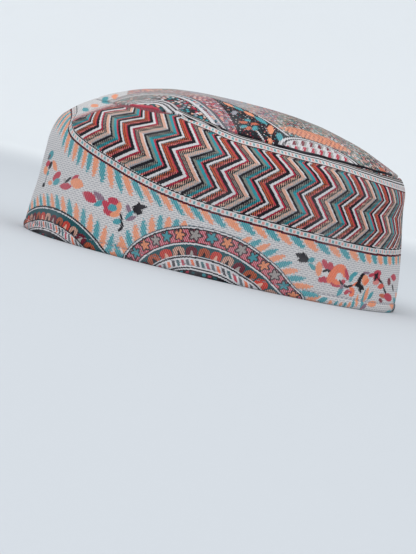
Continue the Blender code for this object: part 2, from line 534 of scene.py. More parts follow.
class WOVENCAP_OT_crown(bpy.types.Operator):
    """Makes the shallow dome of cloth inside the crown seam"""

    bl_idname = "woven_cap.crown"
    bl_label = "Crown"

    def execute(self, context):
        sizes = context.scene.woven_cap_sizes
        form = cap_form()
        wall = sizes.wall * TO_MM
        tops = form.tops()
        sections = [crown_section(seam, top, wall) for seam, top in zip(form.seams, tops)]
        stations, depths = in_tables(sections)
        points = form.shell(stations, depths)
        piece = start_primitive(
            bpy.ops.mesh.primitive_uv_sphere_add,
            segments=COLUMNS,
            ring_count=CROWN_RINGS,
            radius=1.0,
            calc_uvs=False,
        )
        mesh = piece.data
        places = vertex_places(mesh)
        column = columns_of(places)
        down = np.arccos(np.clip(places[:, 2], -1, 1))
        row = np.round(down / math.pi * CROWN_RINGS).astype(int)
        placed = points[column, row]
        poles = (row == 0) | (row == CROWN_RINGS)
        placed[poles] = [points[:, k].mean(axis=0) for k in row[poles]]
        place_vertices(mesh, placed)
        self.add_maps(mesh, form, placed, stations, depths, column, row)
        add_seam_distance(mesh, form.seams[column] - stations[column, row])
        mesh.materials.append(crown_cloth(context))
        mesh.materials.append(plain_cloth(context))
        finish_piece(piece, "woven_crown", "root", ["crown"])
        return {"FINISHED"}

    def add_maps(self, mesh, form, placed, stations, depths, column, row):
        """Fabric coordinates outside, plan coordinates inside, map for baking."""
        # Rows end at the poles, so no face closes across them.
        found = loop_columns(mesh, column, row, COLUMNS, 10 * CROWN_RINGS)
        corners, face, at_column, at_row, first, low_row = found
        lining = low_row > CROWN_RINGS // 2
        inner = lining[face]
        around = form.around[np.minimum(at_column, COLUMNS)]
        around = np.where(first[face] >= COLUMNS // 2, around - form.girth, around)
        x, y = placed[corners, 0], placed[corners, 1]
        u = np.where(inner, x, around)
        v = np.where(inner, y, stations[at_column % COLUMNS, at_row])
        add_uv(mesh, "cloth", u * MM, v * MM)
        spread = (1 + INNER_SPREAD * np.minimum(depths[column, row], 2.0))[corners]
        left, low, scale = BAKE_CROWN
        in_left, in_low, in_scale = BAKE_CROWN_LINING
        u = np.where(inner, in_left + x * in_scale, left + x * spread * scale)
        v = np.where(inner, in_low + y * in_scale, low + y * spread * scale)
        add_uv(mesh, "OFBake", u, v)
        mesh.polygons.foreach_set("material_index", lining.astype(np.int32))


class WOVENCAP_OT_hem_stitches(bpy.types.Operator):
    """Sews the line of stitches that holds the folded hem"""

    bl_idname = "woven_cap.hem_stitches"
    bl_label = "Hem stitches"

    def execute(self, context):
        sizes = context.scene.woven_cap_sizes
        form = cap_form()
        height = sizes.hem_depth * TO_MM
        stations = np.full((COLUMNS, 1), height)
        depths = np.full((COLUMNS, 1), STITCH_SEAT)
        line = form.shell(stations, depths)[:, 0]
        above = form.shell(stations + 1.0, depths)[:, 0]
        count = round(form.girth / (sizes.stitch_pitch * TO_MM))
        first = start_primitive(
            bpy.ops.mesh.primitive_uv_sphere_add, segments=6, ring_count=7, radius=1.0
        )
        mesh = first.data
        x, y, z = vertex_places(mesh).T
        half = sizes.stitch_length * TO_MM / 2
        thick = sizes.stitch_thread * TO_MM / 2
        full = np.sqrt(np.clip(1 - z**4, 0, 1)) / np.maximum(np.hypot(x, y), 0.3)
        sink = STITCH_ENDS * z**4 - STITCH_RISE
        pieces = [first]
        for _ in range(1, count):
            copy = first.copy()
            copy.data = mesh.copy()
            context.scene.collection.objects.link(copy)
            pieces.append(copy)
        for i, piece in enumerate(pieces):
            at = form.girth * (i + 0.5) / count
            middle, along, up = self.place(form, line, above, at)
            out = unit(np.cross(along, up))
            points = (
                middle
                + along * (z * half)[:, None]
                + up * (x * full * thick * STITCH_BREADTH)[:, None]
                + out * (y * full * thick - sink)[:, None]
            )
            place_vertices(piece.data, points)
        bpy.ops.object.select_all(action="DESELECT")
        for piece in pieces:
            piece.select_set(True)
        context.view_layer.objects.active = first
        bpy.ops.object.join()
        first.data.materials.append(stitch_thread(context))
        finish_piece(first, "hem_stitches", "root")
        return {"FINISHED"}

    def place(self, form, line, above, at):
        """Point, direction and way up of the hem's line at a length round it."""
        here = self.on_ring(form, line, at)
        ahead = self.on_ring(form, line, (at + 1.0) % form.girth)
        over = self.on_ring(form, above, at)
        return here, unit(ahead - here), unit(over - here)

    def on_ring(self, form, ring, at):
        """Point of a closed ring at a length round it."""
        closed = np.vstack([ring, ring[:1]])
        return np.array([np.interp(at, form.around, closed[:, k]) for k in range(3)])


def way_out(azimuth, elevation):
    """Direction out from the cap, by degrees round from the front and degrees up."""
    turn = math.radians(azimuth)
    rise = math.radians(elevation)
    across = math.cos(rise)
    return Vector((math.sin(turn) * across, -math.cos(turn) * across, math.sin(rise)))


class WOVENCAP_OT_stage(bpy.types.Operator):
    """Makes the pale floor, the soft lights and the camera"""

    bl_idname = "woven_cap.stage"
    bl_label = "Stage"

    def execute(self, context):
        look = context.scene.woven_cap_stage
        self.add_floor(look)
        self.add_lights(context, look)
        self.add_camera(context)
        context.scene.view_settings.view_transform = "Standard"
        return {"FINISHED"}

    def add_floor(self, look):
        """A round floor at the rim's height that sweeps up into a low wall, with painted shade round the
        cap.
        """
        floor = start_primitive(
            bpy.ops.mesh.primitive_circle_add,
            vertices=FLOOR_SIDES,
            radius=FLOOR_RADIUS,
            fill_type="NGON",
        )
        bpy.ops.object.mode_set(mode="EDIT")
        bpy.ops.mesh.select_all(action="SELECT")
        for turn in SWEEP_TURNS:
            rise = SWEEP_RISE * math.sin(math.radians(turn))
            grow = 1 + SWEEP_GROWTH * math.cos(math.radians(turn))
            bpy.ops.mesh.select_mode(type="EDGE")
            bpy.ops.mesh.region_to_loop()
            bpy.ops.mesh.extrude_edges_move(TRANSFORM_OT_translate={"value": (0, 0, rise)})
            bpy.ops.transform.resize(value=(grow, grow, 1.0))
            bpy.ops.mesh.select_all(action="SELECT")
        bpy.ops.mesh.normals_make_consistent(inside=True)
        bpy.ops.object.mode_set(mode="OBJECT")
        bpy.ops.object.shade_smooth()
        floor.name = "stage_floor"
        floor.location.z = RIM_HEIGHT
        material, board, shader = new_material("pale seamless paper")
        # Painted shade: the paper is darker near the cap and fades to its far colour.
        far = board.add("ShaderNodeVectorMath", operation="LENGTH")
        board.feed(far.inputs[0], board.place())
        fade = board.add("ShaderNodeMapRange", interpolation_type="SMOOTHSTEP")
        fade.inputs["From Min"].default_value = PAPER_SHADE_FADE[0]
        fade.inputs["From Max"].default_value = PAPER_SHADE_FADE[1]
        board.feed(fade.inputs["Value"], Value(board, far.outputs["Value"]))
        paper = board.mix(Value(board, fade.outputs["Result"]), look.paper_shade_near_cap, look.paper)
        board.feed(shader.inputs["Base Color"], paper)
        shader.inputs["Roughness"].default_value = 0.9
        shader.inputs["Specular IOR Level"].default_value = 0.1
        floor.data.materials.append(material)

    def add_lights(self, context, look):
        """Light from all round and three soft lamps."""
        world = bpy.data.worlds.new("soft studio")
        context.scene.world = world
        world.use_nodes = True
        sky = world.node_tree.nodes["Background"]
        sky.inputs["Color"].default_value = (*look.sky, 1.0)
        sky.inputs["Strength"].default_value = look.sky_strength
        for name, azimuth, elevation, distance, size in LAMPS:
            data = bpy.data.lights.new(name, "AREA")
            data.shape = "DISK"
            data.size = size
            data.energy = getattr(look, name + "_power")
            lamp = bpy.data.objects.new(name, data)
            context.scene.collection.objects.link(lamp)
            way = way_out(azimuth, elevation)
            lamp.location = Vector(CAMERA_TARGET) + way * distance
            lamp.rotation_euler = way.to_track_quat("Z", "Y").to_euler()

    def add_camera(self, context):
        """Camera at the photograph's angle."""
        data = bpy.data.cameras.new("camera")
        data.sensor_width = 36.0
        data.lens = CAMERA_LENS
        data.shift_x, data.shift_y = CAMERA_SHIFT
        data.clip_start = 0.02
        data.clip_end = 30.0
        camera = bpy.data.objects.new("camera", data)
        context.scene.collection.objects.link(camera)
        back = way_out(CAMERA_AZIMUTH, CAMERA_ELEVATION)
        camera.location = Vector(CAMERA_TARGET) + back * CAMERA_DISTANCE
        facing = (-back).to_track_quat("-Z", "Y").to_matrix()
        roll = Matrix.Rotation(math.radians(CAMERA_ROLL), 3, Vector((0, 0, 1)))
        camera.rotation_euler = (facing @ roll).to_euler()
        context.scene.camera = camera


# Nodes


class Value:
    """A socket that adds, multiplies and compares like a number."""

    def __init__(self, board, socket):
        self.board = board
        self.socket = socket

    def __add__(self, other):
        return self.board.math("ADD", self, other)

    def __radd__(self, other):
        return self.board.math("ADD", other, self)

    def __sub__(self, other):
        return self.board.math("SUBTRACT", self, other)

    def __rsub__(self, other):
        return self.board.math("SUBTRACT", other, self)

    def __mul__(self, other):
        return self.board.math("MULTIPLY", self, other)

    def __truediv__(self, other):
        return self.board.math("DIVIDE", self, other)

    def __abs__(self):
        return self.board.math("ABSOLUTE", self)

    def below(self, other):
        """1 where this is less, and 0 elsewhere."""
        return self.board.math("LESS_THAN", self, other)

    def above(self, other):
        """1 where this is more, and 0 elsewhere."""
        return self.board.math("GREATER_THAN", self, other)

    def between(self, low, high):
        """1 from one number to another, and 0 elsewhere."""
        return self.board.math("COMPARE", self, (low + high) / 2, (high - low) / 2)

    def fract(self):
        """What is over the whole number below."""
        return self.board.math("FRACT", self)

    def floor(self):
        """Whole number below."""
        return self.board.math("FLOOR", self)

    def least(self, other):
        """The lesser of the two."""
        return self.board.math("MINIMUM", self, other)

    def most(self, other):
        """The greater of the two."""
        return self.board.math("MAXIMUM", self, other)


class Board:
    """A node tree being laid out: each call adds nodes and gives their output."""

    def __init__(self, tree):
        self.tree = tree
        self.count = 0

    @classmethod
    def group(cls, name, inputs, outputs):
        """New node group with named sockets."""
        board = cls(bpy.data.node_groups.new(name, "ShaderNodeTree"))
        for way, sockets in (("INPUT", inputs), ("OUTPUT", outputs)):
            for label, kind in sockets:
                board.tree.interface.new_socket(label, in_out=way, socket_type="NodeSocket" + kind)
        board.source = board.add("NodeGroupInput")
        board.sink = board.tree.nodes.new("NodeGroupOutput")
        return board

    def add(self, kind, **settings):
        """New node with its settings, laid out eight to a column."""
        node = self.tree.nodes.new(kind)
        for key, value in settings.items():
            setattr(node, key, value)
        node.location = (180 * (self.count // 8), -170 * (self.count % 8))
        self.count += 1
        return node

    def feed(self, socket, value):
        """Joins a node's output to a socket, or sets a number or colour on it."""
        if isinstance(value, Value):
            self.tree.links.new(value.socket, socket)
        elif socket.type == "RGBA":
            socket.default_value = (*value, 1.0)
        else:
            socket.default_value = value

    def given(self, label):
        """What the group is given, by name."""
        return Value(self, self.source.outputs[label])

    def give(self, **results):
        """Feeds the group's outputs by name and gives the finished group."""
        for label, value in results.items():
            self.feed(self.sink.inputs[label], value)
        self.sink.location = (180 * (self.count // 8 + 1), 0)
        return self.tree

    def place(self):
        """Place on the object."""
        return Value(self, self.add("ShaderNodeTexCoord").outputs["Object"])

    def cloth_map(self):
        """Place on the piece's own map of the cloth."""
        return Value(self, self.add("ShaderNodeUVMap", uv_map="cloth").outputs[0])

    def math(self, operation, *values):
        """Math node fed with values."""
        node = self.add("ShaderNodeMath", operation=operation)
        for socket, value in zip(node.inputs, values):
            self.feed(socket, value)
        return Value(self, node.outputs[0])

    def mapped(self, vector, degrees, scale):
        """Vector scaled and then turned about the upright."""
        node = self.add("ShaderNodeMapping", vector_type="POINT")
        self.feed(node.inputs["Vector"], vector)
        node.inputs["Rotation"].default_value = (0.0, 0.0, math.radians(degrees))
        node.inputs["Scale"].default_value = scale
        return Value(self, node.outputs[0])

    def split(self, vector):
        """First two parts of a vector."""
        node = self.add("ShaderNodeSeparateXYZ")
        self.feed(node.inputs[0], vector)
        return Value(self, node.outputs[0]), Value(self, node.outputs[1])

    def join(self, x, y):
        """Vector of two parts."""
        node = self.add("ShaderNodeCombineXYZ")
        self.feed(node.inputs[0], x)
        self.feed(node.inputs[1], y)
        return Value(self, node.outputs[0])

    def curve(self, value, points, u_range, v_range):
        """Smooth curve through points, read at a value; straight on past its ends."""
        u0, u1 = u_range
        v0, v1 = v_range
        share = self.math("MULTIPLY_ADD", value, 1 / (u1 - u0), -u0 / (u1 - u0))
        node = self.add("ShaderNodeFloatCurve")
        line = node.mapping.curves[0]
        spots = [((u - u0) / (u1 - u0), (v - v0) / (v1 - v0)) for u, v in points]
        line.points[0].location = spots[0]
        line.points[1].location = spots[-1]
        for spot in spots[1:-1]:
            line.points.new(*spot)
        node.mapping.update()
        self.feed(node.inputs["Value"], share)
        return self.math("MULTIPLY_ADD", Value(self, node.outputs[0]), v1 - v0, v0)

    def ramp(self, value, stops):
        """Flat colours along a value from 0 to 1; each starts at its stop."""
        node = self.add("ShaderNodeValToRGB")
        ramp = node.color_ramp
        ramp.interpolation = "CONSTANT"
        ramp.elements[0].position = stops[0][0]
        ramp.elements[0].color = (*stops[0][1], 1.0)
        ramp.elements[1].position = stops[-1][0]
        ramp.elements[1].color = (*stops[-1][1], 1.0)
        for position, colour in stops[1:-1]:
            ramp.elements.new(position).color = (*colour, 1.0)
        self.feed(node.inputs[0], value)
        return Value(self, node.outputs[0])

    def mix(self, mask, under, over):
        """One colour laid over another by a mask."""
        node = self.add("ShaderNodeMix", data_type="RGBA")
        sockets = {socket.identifier: socket for socket in node.inputs}
        self.feed(sockets["Factor_Float"], mask)
        self.feed(sockets["A_Color"], under)
        self.feed(sockets["B_Color"], over)
        results = {socket.identifier: socket for socket in node.outputs}
        return Value(self, results["Result_Color"])

    def seen(self, u, v, middle, angle, size):
        """Place as seen from a shape: 0 at its middle and 1 at its ends."""
        cosine, sine = math.cos(angle), math.sin(angle)
        half_long, half_wide = size
        across = -(middle[0] * cosine + middle[1] * sine) / half_long
        up = (middle[0] * sine - middle[1] * cosine) / half_wide
        if angle:
            across = self.math("MULTIPLY_ADD", v, sine / half_long, across)
            up = self.math("MULTIPLY_ADD", u, -sine / half_wide, up)
        x = self.math("MULTIPLY_ADD", u, cosine / half_long, across)
        y = self.math("MULTIPLY_ADD", v, cosine / half_wide, up)
        return x, y

    def square(self, x, y):
        """Square of the distance from the middle."""
        return self.math("MULTIPLY_ADD", x, x, y * y)

    def far(self, x, y):
        """Distance from the middle."""
        return self.math("SQRT", self.square(x, y))

    def use(self, tree, **inputs):
        """Group node with its inputs fed, giving its outputs by name."""
        node = self.add("ShaderNodeGroup")
        node.node_tree = tree
        for label, value in inputs.items():
            self.feed(node.inputs[label], value)
        return {socket.name: Value(self, socket) for socket in node.outputs}


# Cloth pattern, in millimetres: u runs round the rim from the front, positive
# to the wearer's left, and v runs up the cloth from the rim. First where it starts
# and ends, a thread, the twill that shows through and teeths the edges, its share
# by thread, the degrees by which the crown's fold is turned, how early the colours
# of a ramp begin, and how deep the teeth of a leaf are.

PATTERN_START = -27.0
PATTERN_END = 270.0
THREAD = 0.34
TWILL = 1.12
TWILL_SLOPE = 0.8
TWILL_WIDTH = 0.42
TWILL_TOOTH = 1.5
TWILL_SHARE = {"black": 0.0, "white": 0.0, "ground": 0.0, "crimson": 0.1, "coral": 0.2}
FOLD_TURN = -17.5
RAMP_LEAD = 0.02
LEAF_TEETH = 0.2

PLACE = [("U", "Float"), ("V", "Float")]
TOOTHED = [("Toothed U", "Float"), ("Toothed V", "Float"), ("Hatch", "Float")]
UNDER = [("Colour", "Color")]
PAINTED = [("Colour", "Color")]
CLOTH = [*PLACE, *TOOTHED, *UNDER]
CELLS = [("Near", "Float"), ("Pick", "Float")]

# Dark line under the lower ribbon.
RIBBON_LINE = (
    (-27, 66), (-15, 64.7), (-5, 62), (0, 59.3), (5, 53.3), (10, 50.2), (20, 46.8), (40, 41.2),
    (57, 36.7), (72, 33.7), (92, 31.3), (120, 29.9), (160, 28.5), (190, 28.3), (235, 30), (270, 30.5),
)  # fmt: skip

# Dotted ribbon: lengths of its dashes and dots along it, and heights of its pale
# band, its dark lines and its dots.
RIBBON_DASH = 0.95
RIBBON_DOT = 2.07
RIBBON_PALE = (-0.45, 3.5)
RIBBON_LOW_LINE = (-0.7, 0.35)
RIBBON_HIGH_LINE = (2.75, 3.35)
RIBBON_DOTS = (0.85, 2.25)

# Zigzag: the line that its rows follow, a row's height and swing, the first
# row's height over the line, how much it leans away from where it is upright, and
# its ribs' pitch. Then how far it moves along and is stretched, the width of a
# set of threads, where one starts, and threads where a row falls and rises.
ZIGZAG_LINE = (
    (-27, 66), (-10, 62.5), (0, 58.6), (5, 54), (10, 51), (30, 45.7), (50, 40.4), (70, 35.2),
    (90, 31.8), (120, 30.1), (150, 28.9), (180, 28.4), (205, 28.9), (270, 30.5),
)  # fmt: skip
ZIGZAG_RISE = 8.4
ZIGZAG_SWING = 9.0
ZIGZAG_FOOT = 11.2
ZIGZAG_DRIFT = 0.0015
ZIGZAG_UPRIGHT = 30.0
ZIGZAG_RIB = 1.04
ZIGZAG_SHIFT = (
    (-27, 2), (20, 2.4), (35, 2.6), (47, 2.8), (59, 2.1), (71, 1.5), (83, 0.7), (100, 0.5),
    (143, 0.4), (155, 0.7), (167, 1.4), (179, 2.2), (191, 2.9), (203, 3.5), (270, 5.5),
)  # fmt: skip
ZIGZAG_STRETCH = (
    (-27, 0.97), (35, 0.95), (47, 0.93), (59, 0.89), (71, 0.885), (83, 0.93), (95, 0.97),
    (119, 0.99), (143, 1.02), (155, 1.04), (179, 1.07), (203, 1.1), (270, 1.12),
)  # fmt: skip
ZIGZAG_SET = 24.92
ZIGZAG_START = 52.0
ZIGZAG_THREADS = (
    (0.0, "black"), (1.4, "white"), (3.2, "crimson"), (4.4, "black"), (5.1, "sage"),
    (5.7, "maroon"), (6.2, "sage"), (6.8, "black"), (7.4, "apricot"), (9.6, "white"),
    (10.5, "black"), (12.0, "sage"), (13.8, "teal"), (15.9, "crimson"), (17.1, "black"),
    (18.8, "white"), (20.2, "black"), (20.8, "orange"), (21.7, "maroon"), (22.3, "orange"),
    (23.2, "crimson"), (24.1, "black"),
)  # fmt: skip
ZIGZAG_RIBS = (
    (0.0, "black", "black"), (1.5, "white", "white"), (3.3, "crimson", "maroon"),
    (4.7, "apricot", "black"), (6.6, "sage", "black"), (7.6, "apricot", "tan"), (9.6, "tan", "grey"),
    (10.5, "black", "black"), (12.1, "sage", "coal"), (14.1, "teal", "pine"),
    (16.0, "salmon", "maroon"), (17.2, "black", "black"), (18.8, "white", "white"),
    (20.3, "tan", "coal"), (21.1, "orange", "black"), (22.7, "salmon", "maroon"),
    (24.1, "black", "black"),
)  # fmt: skip

# Leaves that hang from the lower ribbon: where each stands, counted, how long
# they are, the teeth of their edges, from where their ends are blunt, and how
# much they slant by place.
HANGING_COUNT = (
    (-27, -9), (-2, -3), (5, -1), (12.3, 1), (20.2, 3), (27.3, 5), (35.7, 7), (44.5, 9),
    (54.5, 11), (64.2, 13), (75.2, 15), (85.3, 17), (96, 19), (111, 21), (124, 23),
    (137.5, 25), (153, 27), (166.8, 29), (180.5, 31), (191.7, 33), (203.2, 35), (270, 46.5),
)  # fmt: skip
HANGING_LENGTH = (
    (-27, 15), (-5, 12.6), (10, 10), (40, 10), (60, 7.6), (85, 6), (110, 5.4), (170, 5.2),
    (270, 5),
)  # fmt: skip
HANGING_TOOTH = 1.7
HANGING_BLUNT_FROM = 80.0
HANGING_SLANT = ((-27, 0), (25, 0), (40, 0.3), (55, 0.7), (70, 1), (165, 1), (195, 0.5), (270, 0.4))

# Small motifs on the light ground: thread, kind, two ends and width.
FRONT_SPRAY = (
    ("teal", "petal", -10, 37.6, -2.8, 39.6, 4.6), ("slate", "petal", -10.4, 36.6, -6, 38.4, 2.6),
    ("crimson", "leaf", -11.6, 33.6, -3.6, 34.8, 3.4), ("black", "petal", -4.6, 31.8, -1.6, 35.6, 3.2),
    ("peach", "petal", -13, 31.4, -4.4, 30, 3.8), ("teal", "petal", -5.2, 30, -2, 29.6, 2.6),
    ("slate", "petal", -4.2, 29, -3.6, 24, 1), ("black", "petal", -6.4, 23.4, -2.6, 23.6, 2.4),
    ("peach", "leaf", -1.6, 36.4, 6, 32, 3.4), ("crimson", "petal", 3.8, 27.4, 9.8, 31.6, 4),
    ("teal", "petal", 5.6, 25.8, 10.6, 28, 3.4), ("peach", "leaf", 0, 25.6, 4.6, 25.4, 2.4),
    ("crimson", "leaf", 11.6, 25.4, 20.8, 26.6, 3.6), ("tan", "petal", 13.4, 29.6, 16.2, 27.4, 1.6),
    ("black", "petal", 15.2, 27.6, 18.6, 31, 1.6), ("crimson", "petal", 19.2, 29.6, 23.2, 32.6, 2.4),
    ("peach", "leaf", 18.6, 29, 28.2, 28.4, 5.2), ("crimson", "leaf", 28.6, 25.6, 38.4, 22.4, 4.6),
    ("mauve", "leaf", 34.8, 27.2, 43.4, 23.2, 3), ("teal", "leaf", 37, 20.6, 42.4, 23.8, 2.8),
    ("crimson", "petal", 41.2, 23.6, 46.2, 21.4, 3.4), ("crimson", "petal", 43.8, 25.2, 50.2, 24.8, 3.4),
    ("crimson", "petal", 43, 20.6, 48.4, 18.4, 3.4), ("peach", "petal", 50.6, 25.4, 50.6, 19.2, 3),
    ("peach", "petal", 47, 18.2, 52, 19.8, 2.8), ("teal", "petal", 45, 21.8, 49.9, 21.8, 3.4),
    ("black", "petal", 52.2, 20.7, 54.2, 15.8, 1.3), ("black", "petal", 53.8, 16.8, 55.2, 13.6, 1.5),
    ("black", "petal", 55.3, 14.8, 53.5, 11.6, 1.5), ("teal", "petal", 49.6, 15.6, 53.6, 16.4, 2.8),
    ("mauve", "leaf", 54, 25.4, 57.2, 20.8, 2.4), ("teal", "leaf", 58.4, 23, 55.2, 17.8, 2.4),
    ("mauve", "leaf", 55.8, 17.6, 60.6, 20.6, 2.2), ("black", "leaf", 56.8, 24.4, 64.6, 26.2, 2.4),
    ("black", "leaf", 59.8, 27.8, 60.7, 20.8, 3), ("black", "petal", 57.6, 23.8, 62.8, 22.8, 3.2),
)  # fmt: skip
SIDE_SPRAY = (
    ("black", "leaf", 140.2, 20.6, 148.4, 19.4, 2.8), ("black", "leaf", 144, 22.2, 147.4, 17.8, 2.8),
    ("black", "leaf", 142, 17.8, 148, 19, 2.4), ("black", "petal", 144, 19.3, 148.4, 19, 3.4),
    ("teal", "leaf", 148, 18.4, 151.8, 20.3, 2.6), ("teal", "leaf", 148.2, 17.6, 154, 14.8, 2.3),
    ("peach", "petal", 154.6, 19.4, 155.2, 12.4, 3.8), ("peach", "leaf", 152.4, 16.6, 157, 16.4, 1.8),
    ("crimson", "petal", 156.2, 20.6, 159.8, 16.8, 3.2), ("crimson", "petal", 160.2, 20, 163.6, 16, 3.4),
    ("crimson", "petal", 158, 18.6, 162, 17.2, 2.2), ("ground", "petal", 157, 14.6, 162.6, 14, 4.6),
    ("black", "petal", 157.2, 14.9, 160.2, 16.3, 1.3), ("black", "petal", 159, 16.3, 162.8, 15.5, 1.4),
    ("crimson", "petal", 155.6, 11.6, 158.4, 10.2, 2.4), ("crimson", "petal", 157.6, 12.4, 161, 10.4, 2.8),
    ("coral", "petal", 161.4, 10.2, 165.6, 17.6, 4.8), ("coral", "petal", 163.2, 16.6, 171.6, 19, 4.6),
    ("coral", "petal", 169.2, 19, 173.4, 14.6, 4.2), ("crimson", "petal", 171.8, 18.6, 174.8, 13.2, 2.6),
    ("crimson", "petal", 168.8, 11.4, 173.2, 12.6, 2.4), ("crimson", "petal", 163, 10.2, 170, 9.8, 2.3),
    ("coral", "petal", 163.8, 11.7, 169.6, 11.1, 2.8), ("ground", "petal", 166.4, 14.8, 170.7, 13.2, 4),
    ("black", "petal", 168.6, 12.7, 171.6, 10.3, 1.3), ("black", "petal", 170.4, 10.6, 175.6, 9.8, 1.3),
    ("black", "petal", 173.8, 9.7, 179.4, 11.5, 1.3), ("coral", "petal", 178.4, 11.2, 184.8, 13.8, 1.6),
    ("teal", "leaf", 175.8, 12.2, 177.8, 17.2, 2.9), ("teal", "leaf", 176.2, 15.5, 181.2, 17.8, 2.4),
    ("teal", "leaf", 168.4, 4.6, 172.2, 10, 2.9), ("mauve", "petal", 169.8, 8.4, 172.2, 10.5, 1.8),
    ("crimson", "petal", 173, 6.5, 176.6, 8.5, 2.2), ("coral", "petal", 176.2, 9.7, 180.6, 8.8, 2),
    ("coral", "petal", 179.2, 9.6, 179.8, 6.2, 2), ("coral", "petal", 176.6, 6.4, 179.8, 6.6, 1.8),
    ("crimson", "petal", 176.4, 8.2, 178.6, 7.4, 1.4), ("black", "leaf", 187.2, 18.4, 182.4, 14.4, 2.6),
    ("black", "petal", 183.6, 16.2, 182.6, 10.6, 3), ("black", "leaf", 180, 11.4, 184.8, 12.6, 2.2),
    ("black", "leaf", 185.6, 8, 183, 13.2, 2.6), ("black", "leaf", 188, 10, 183.2, 12.4, 2.2),
    ("peach", "petal", 185.2, 14.8, 190.4, 14.8, 5.4), ("coral", "petal", 187.2, 12.6, 191.2, 15.6, 2.4),
    ("mauve", "petal", 185.4, 18.4, 191.2, 18.6, 1.3), ("crimson", "petal", 190, 17.2, 195.6, 18.4, 2),
    ("crimson", "petal", 194.6, 19, 202.2, 19.4, 3.2), ("salmon", "petal", 194.8, 14.4, 201.6, 15.2, 3),
    ("crimson", "petal", 194.6, 16.8, 201.8, 17, 3), ("black", "petal", 195.8, 15, 199, 19.6, 2),
    ("black", "petal", 195.4, 18.6, 199.6, 16.8, 1.6), ("black", "petal", 199.4, 16.6, 205.4, 14.5, 1.3),
    ("black", "petal", 204, 15.1, 208.8, 11.1, 1.5), ("black", "petal", 207.4, 12.1, 211.8, 9.3, 1.5),
    ("red", "leaf", 200, 12.5, 207.4, 13.4, 2.8), ("maroon", "leaf", 210.6, 16.8, 216.4, 14.8, 3.8),
    ("orange", "petal", 203, 8.6, 212, 8.2, 2.2), ("maroon", "petal", 203, 6.6, 208, 5.4, 2),
    ("crimson", "petal", 209, 8.6, 222, 7.2, 4), ("crimson", "leaf", 215, 18.6, 227, 17.6, 3.6),
    ("black", "petal", 219, 14.6, 224, 11, 1.6), ("teal", "leaf", 186.4, -0.4, 189.4, 10.8, 2.6),
    ("peach", "leaf", 188.6, 4, 191.9, 12.2, 2.8), ("teal", "leaf", 191.4, 5.4, 197, 10, 2.4),
    ("peach", "leaf", 191.6, 3, 201.4, 4.6, 3), ("crimson", "leaf", 186.8, 0.4, 191.6, 3.8, 2),
    ("teal", "leaf", 179.8, 0, 181, 5, 2), ("peach", "leaf", 182.8, 0.6, 183.4, 7.6, 2),
    ("peach", "leaf", 151, 1.2, 159, 3.4, 2.8), ("teal", "leaf", 157, 0, 163, 3, 2.6),
    ("peach", "leaf", 164, 0, 166, 2.2, 2), ("teal", "leaf", 168, 0, 169.6, 2.6, 1.8),
    ("peach", "leaf", 171.4, 0, 172.6, 2.4, 1.8), ("teal", "leaf", 174, 0, 175.4, 2.8, 1.8),
    ("peach", "leaf", 177, 0, 178.4, 3.4, 2), ("mauve", "leaf", 187.6, 0.6, 191.4, 3.6, 2.4),
)  # fmt: skip
BROW_SPRAY = (
    ("peach", "leaf", -3, 73, 8, 71.6, 3.4), ("teal", "leaf", -4, 68.4, 6.5, 66.6, 3),
    ("teal", "leaf", -2, 79, 11, 76.8, 3.6), ("peach", "leaf", -1, 83.4, 13, 80.8, 3.4),
    ("maroon", "leaf", 17, 76.4, 34, 80.6, 4.4), ("maroon", "leaf", 25, 80.5, 60, 80.8, 7),
)  # fmt: skip

# Rounded paisleys that stand on the rim: middle, then outline and leaves read by
# angle about it, bands of thread by depth inside the outline, and stars and fans
# counted by angle.
SIDE_MIDDLE = (98.0, -22.0)
SIDE_OUTLINE = (
    (15, 61), (24, 56.9), (35, 51.6), (45, 49.4), (55, 47.3), (72, 45.8), (91, 45.3),
    (110, 46.2), (124, 46.8), (140, 46.9), (151, 45.1), (160, 43),
)  # fmt: skip
SIDE_LEAF_COUNT = ((15, 19.4), (160, -10.8))
SIDE_LEAF_REACH = (
    (15, 9), (30, 8), (45, 7.3), (57, 6.7), (63, 5.6), (71, 3), (76, 0.2), (104, 0.2),
    (108, 2.2), (113, 3.6), (119, 5.4), (124, 7.2), (145, 7.4), (160, 7.4),
)  # fmt: skip
SIDE_BANDS = (
    (0.0, "slate"), (0.5, "white"), (1.2, "black"), (1.8, "crimson"), (7.6, "black"),
    (8.1, "white"), (8.9, "pine"), (13.9, "white"), (14.4, "black"), (15.1, "white"),
    (19.5, "black"), (20.1, "white"), (20.8, "black"), (21.6, "coal"),
)  # fmt: skip
SIDE_STARS = (
    (15, 8.8), (20.5, 8), (33.9, 6), (50.7, 4), (68.5, 2), (90, 0), (111.2, -2), (134.5, -5),
    (160, -8.4),
)  # fmt: skip
SIDE_FANS = ((15, 6.6), (160, -7.5))
FRONT_MIDDLE = (12.0, -40.0)
FRONT_OUTLINE = (
    (40, 57), (47, 56), (60, 55.2), (75, 54.8), (102, 54.8), (113, 55.5), (124, 57.7), (140, 62),
)  # fmt: skip
FRONT_LEAF_COUNT = ((40, 16.2), (46, 15), (66.2, 11), (85.9, 7), (110.1, 1), (140, -5))
FRONT_LEAF_REACH = ((40, 9), (60, 7.4), (90, 6.8), (110, 6), (140, 5.6))
FRONT_BANDS = (
    (0.0, "black"), (0.8, "white"), (1.4, "pine"), (4.0, "coal"), (6.9, "black"), (7.5, "white"),
    (10.8, "black"), (11.3, "white"), (11.9, "black"), (13.4, "coal"),
)  # fmt: skip
FRONT_FANS = (
    (40, 4.6), (54.3, 3), (62, 2), (75.5, 0), (86.8, -2), (97.5, -4), (107.9, -6), (140, -11.7),
)  # fmt: skip

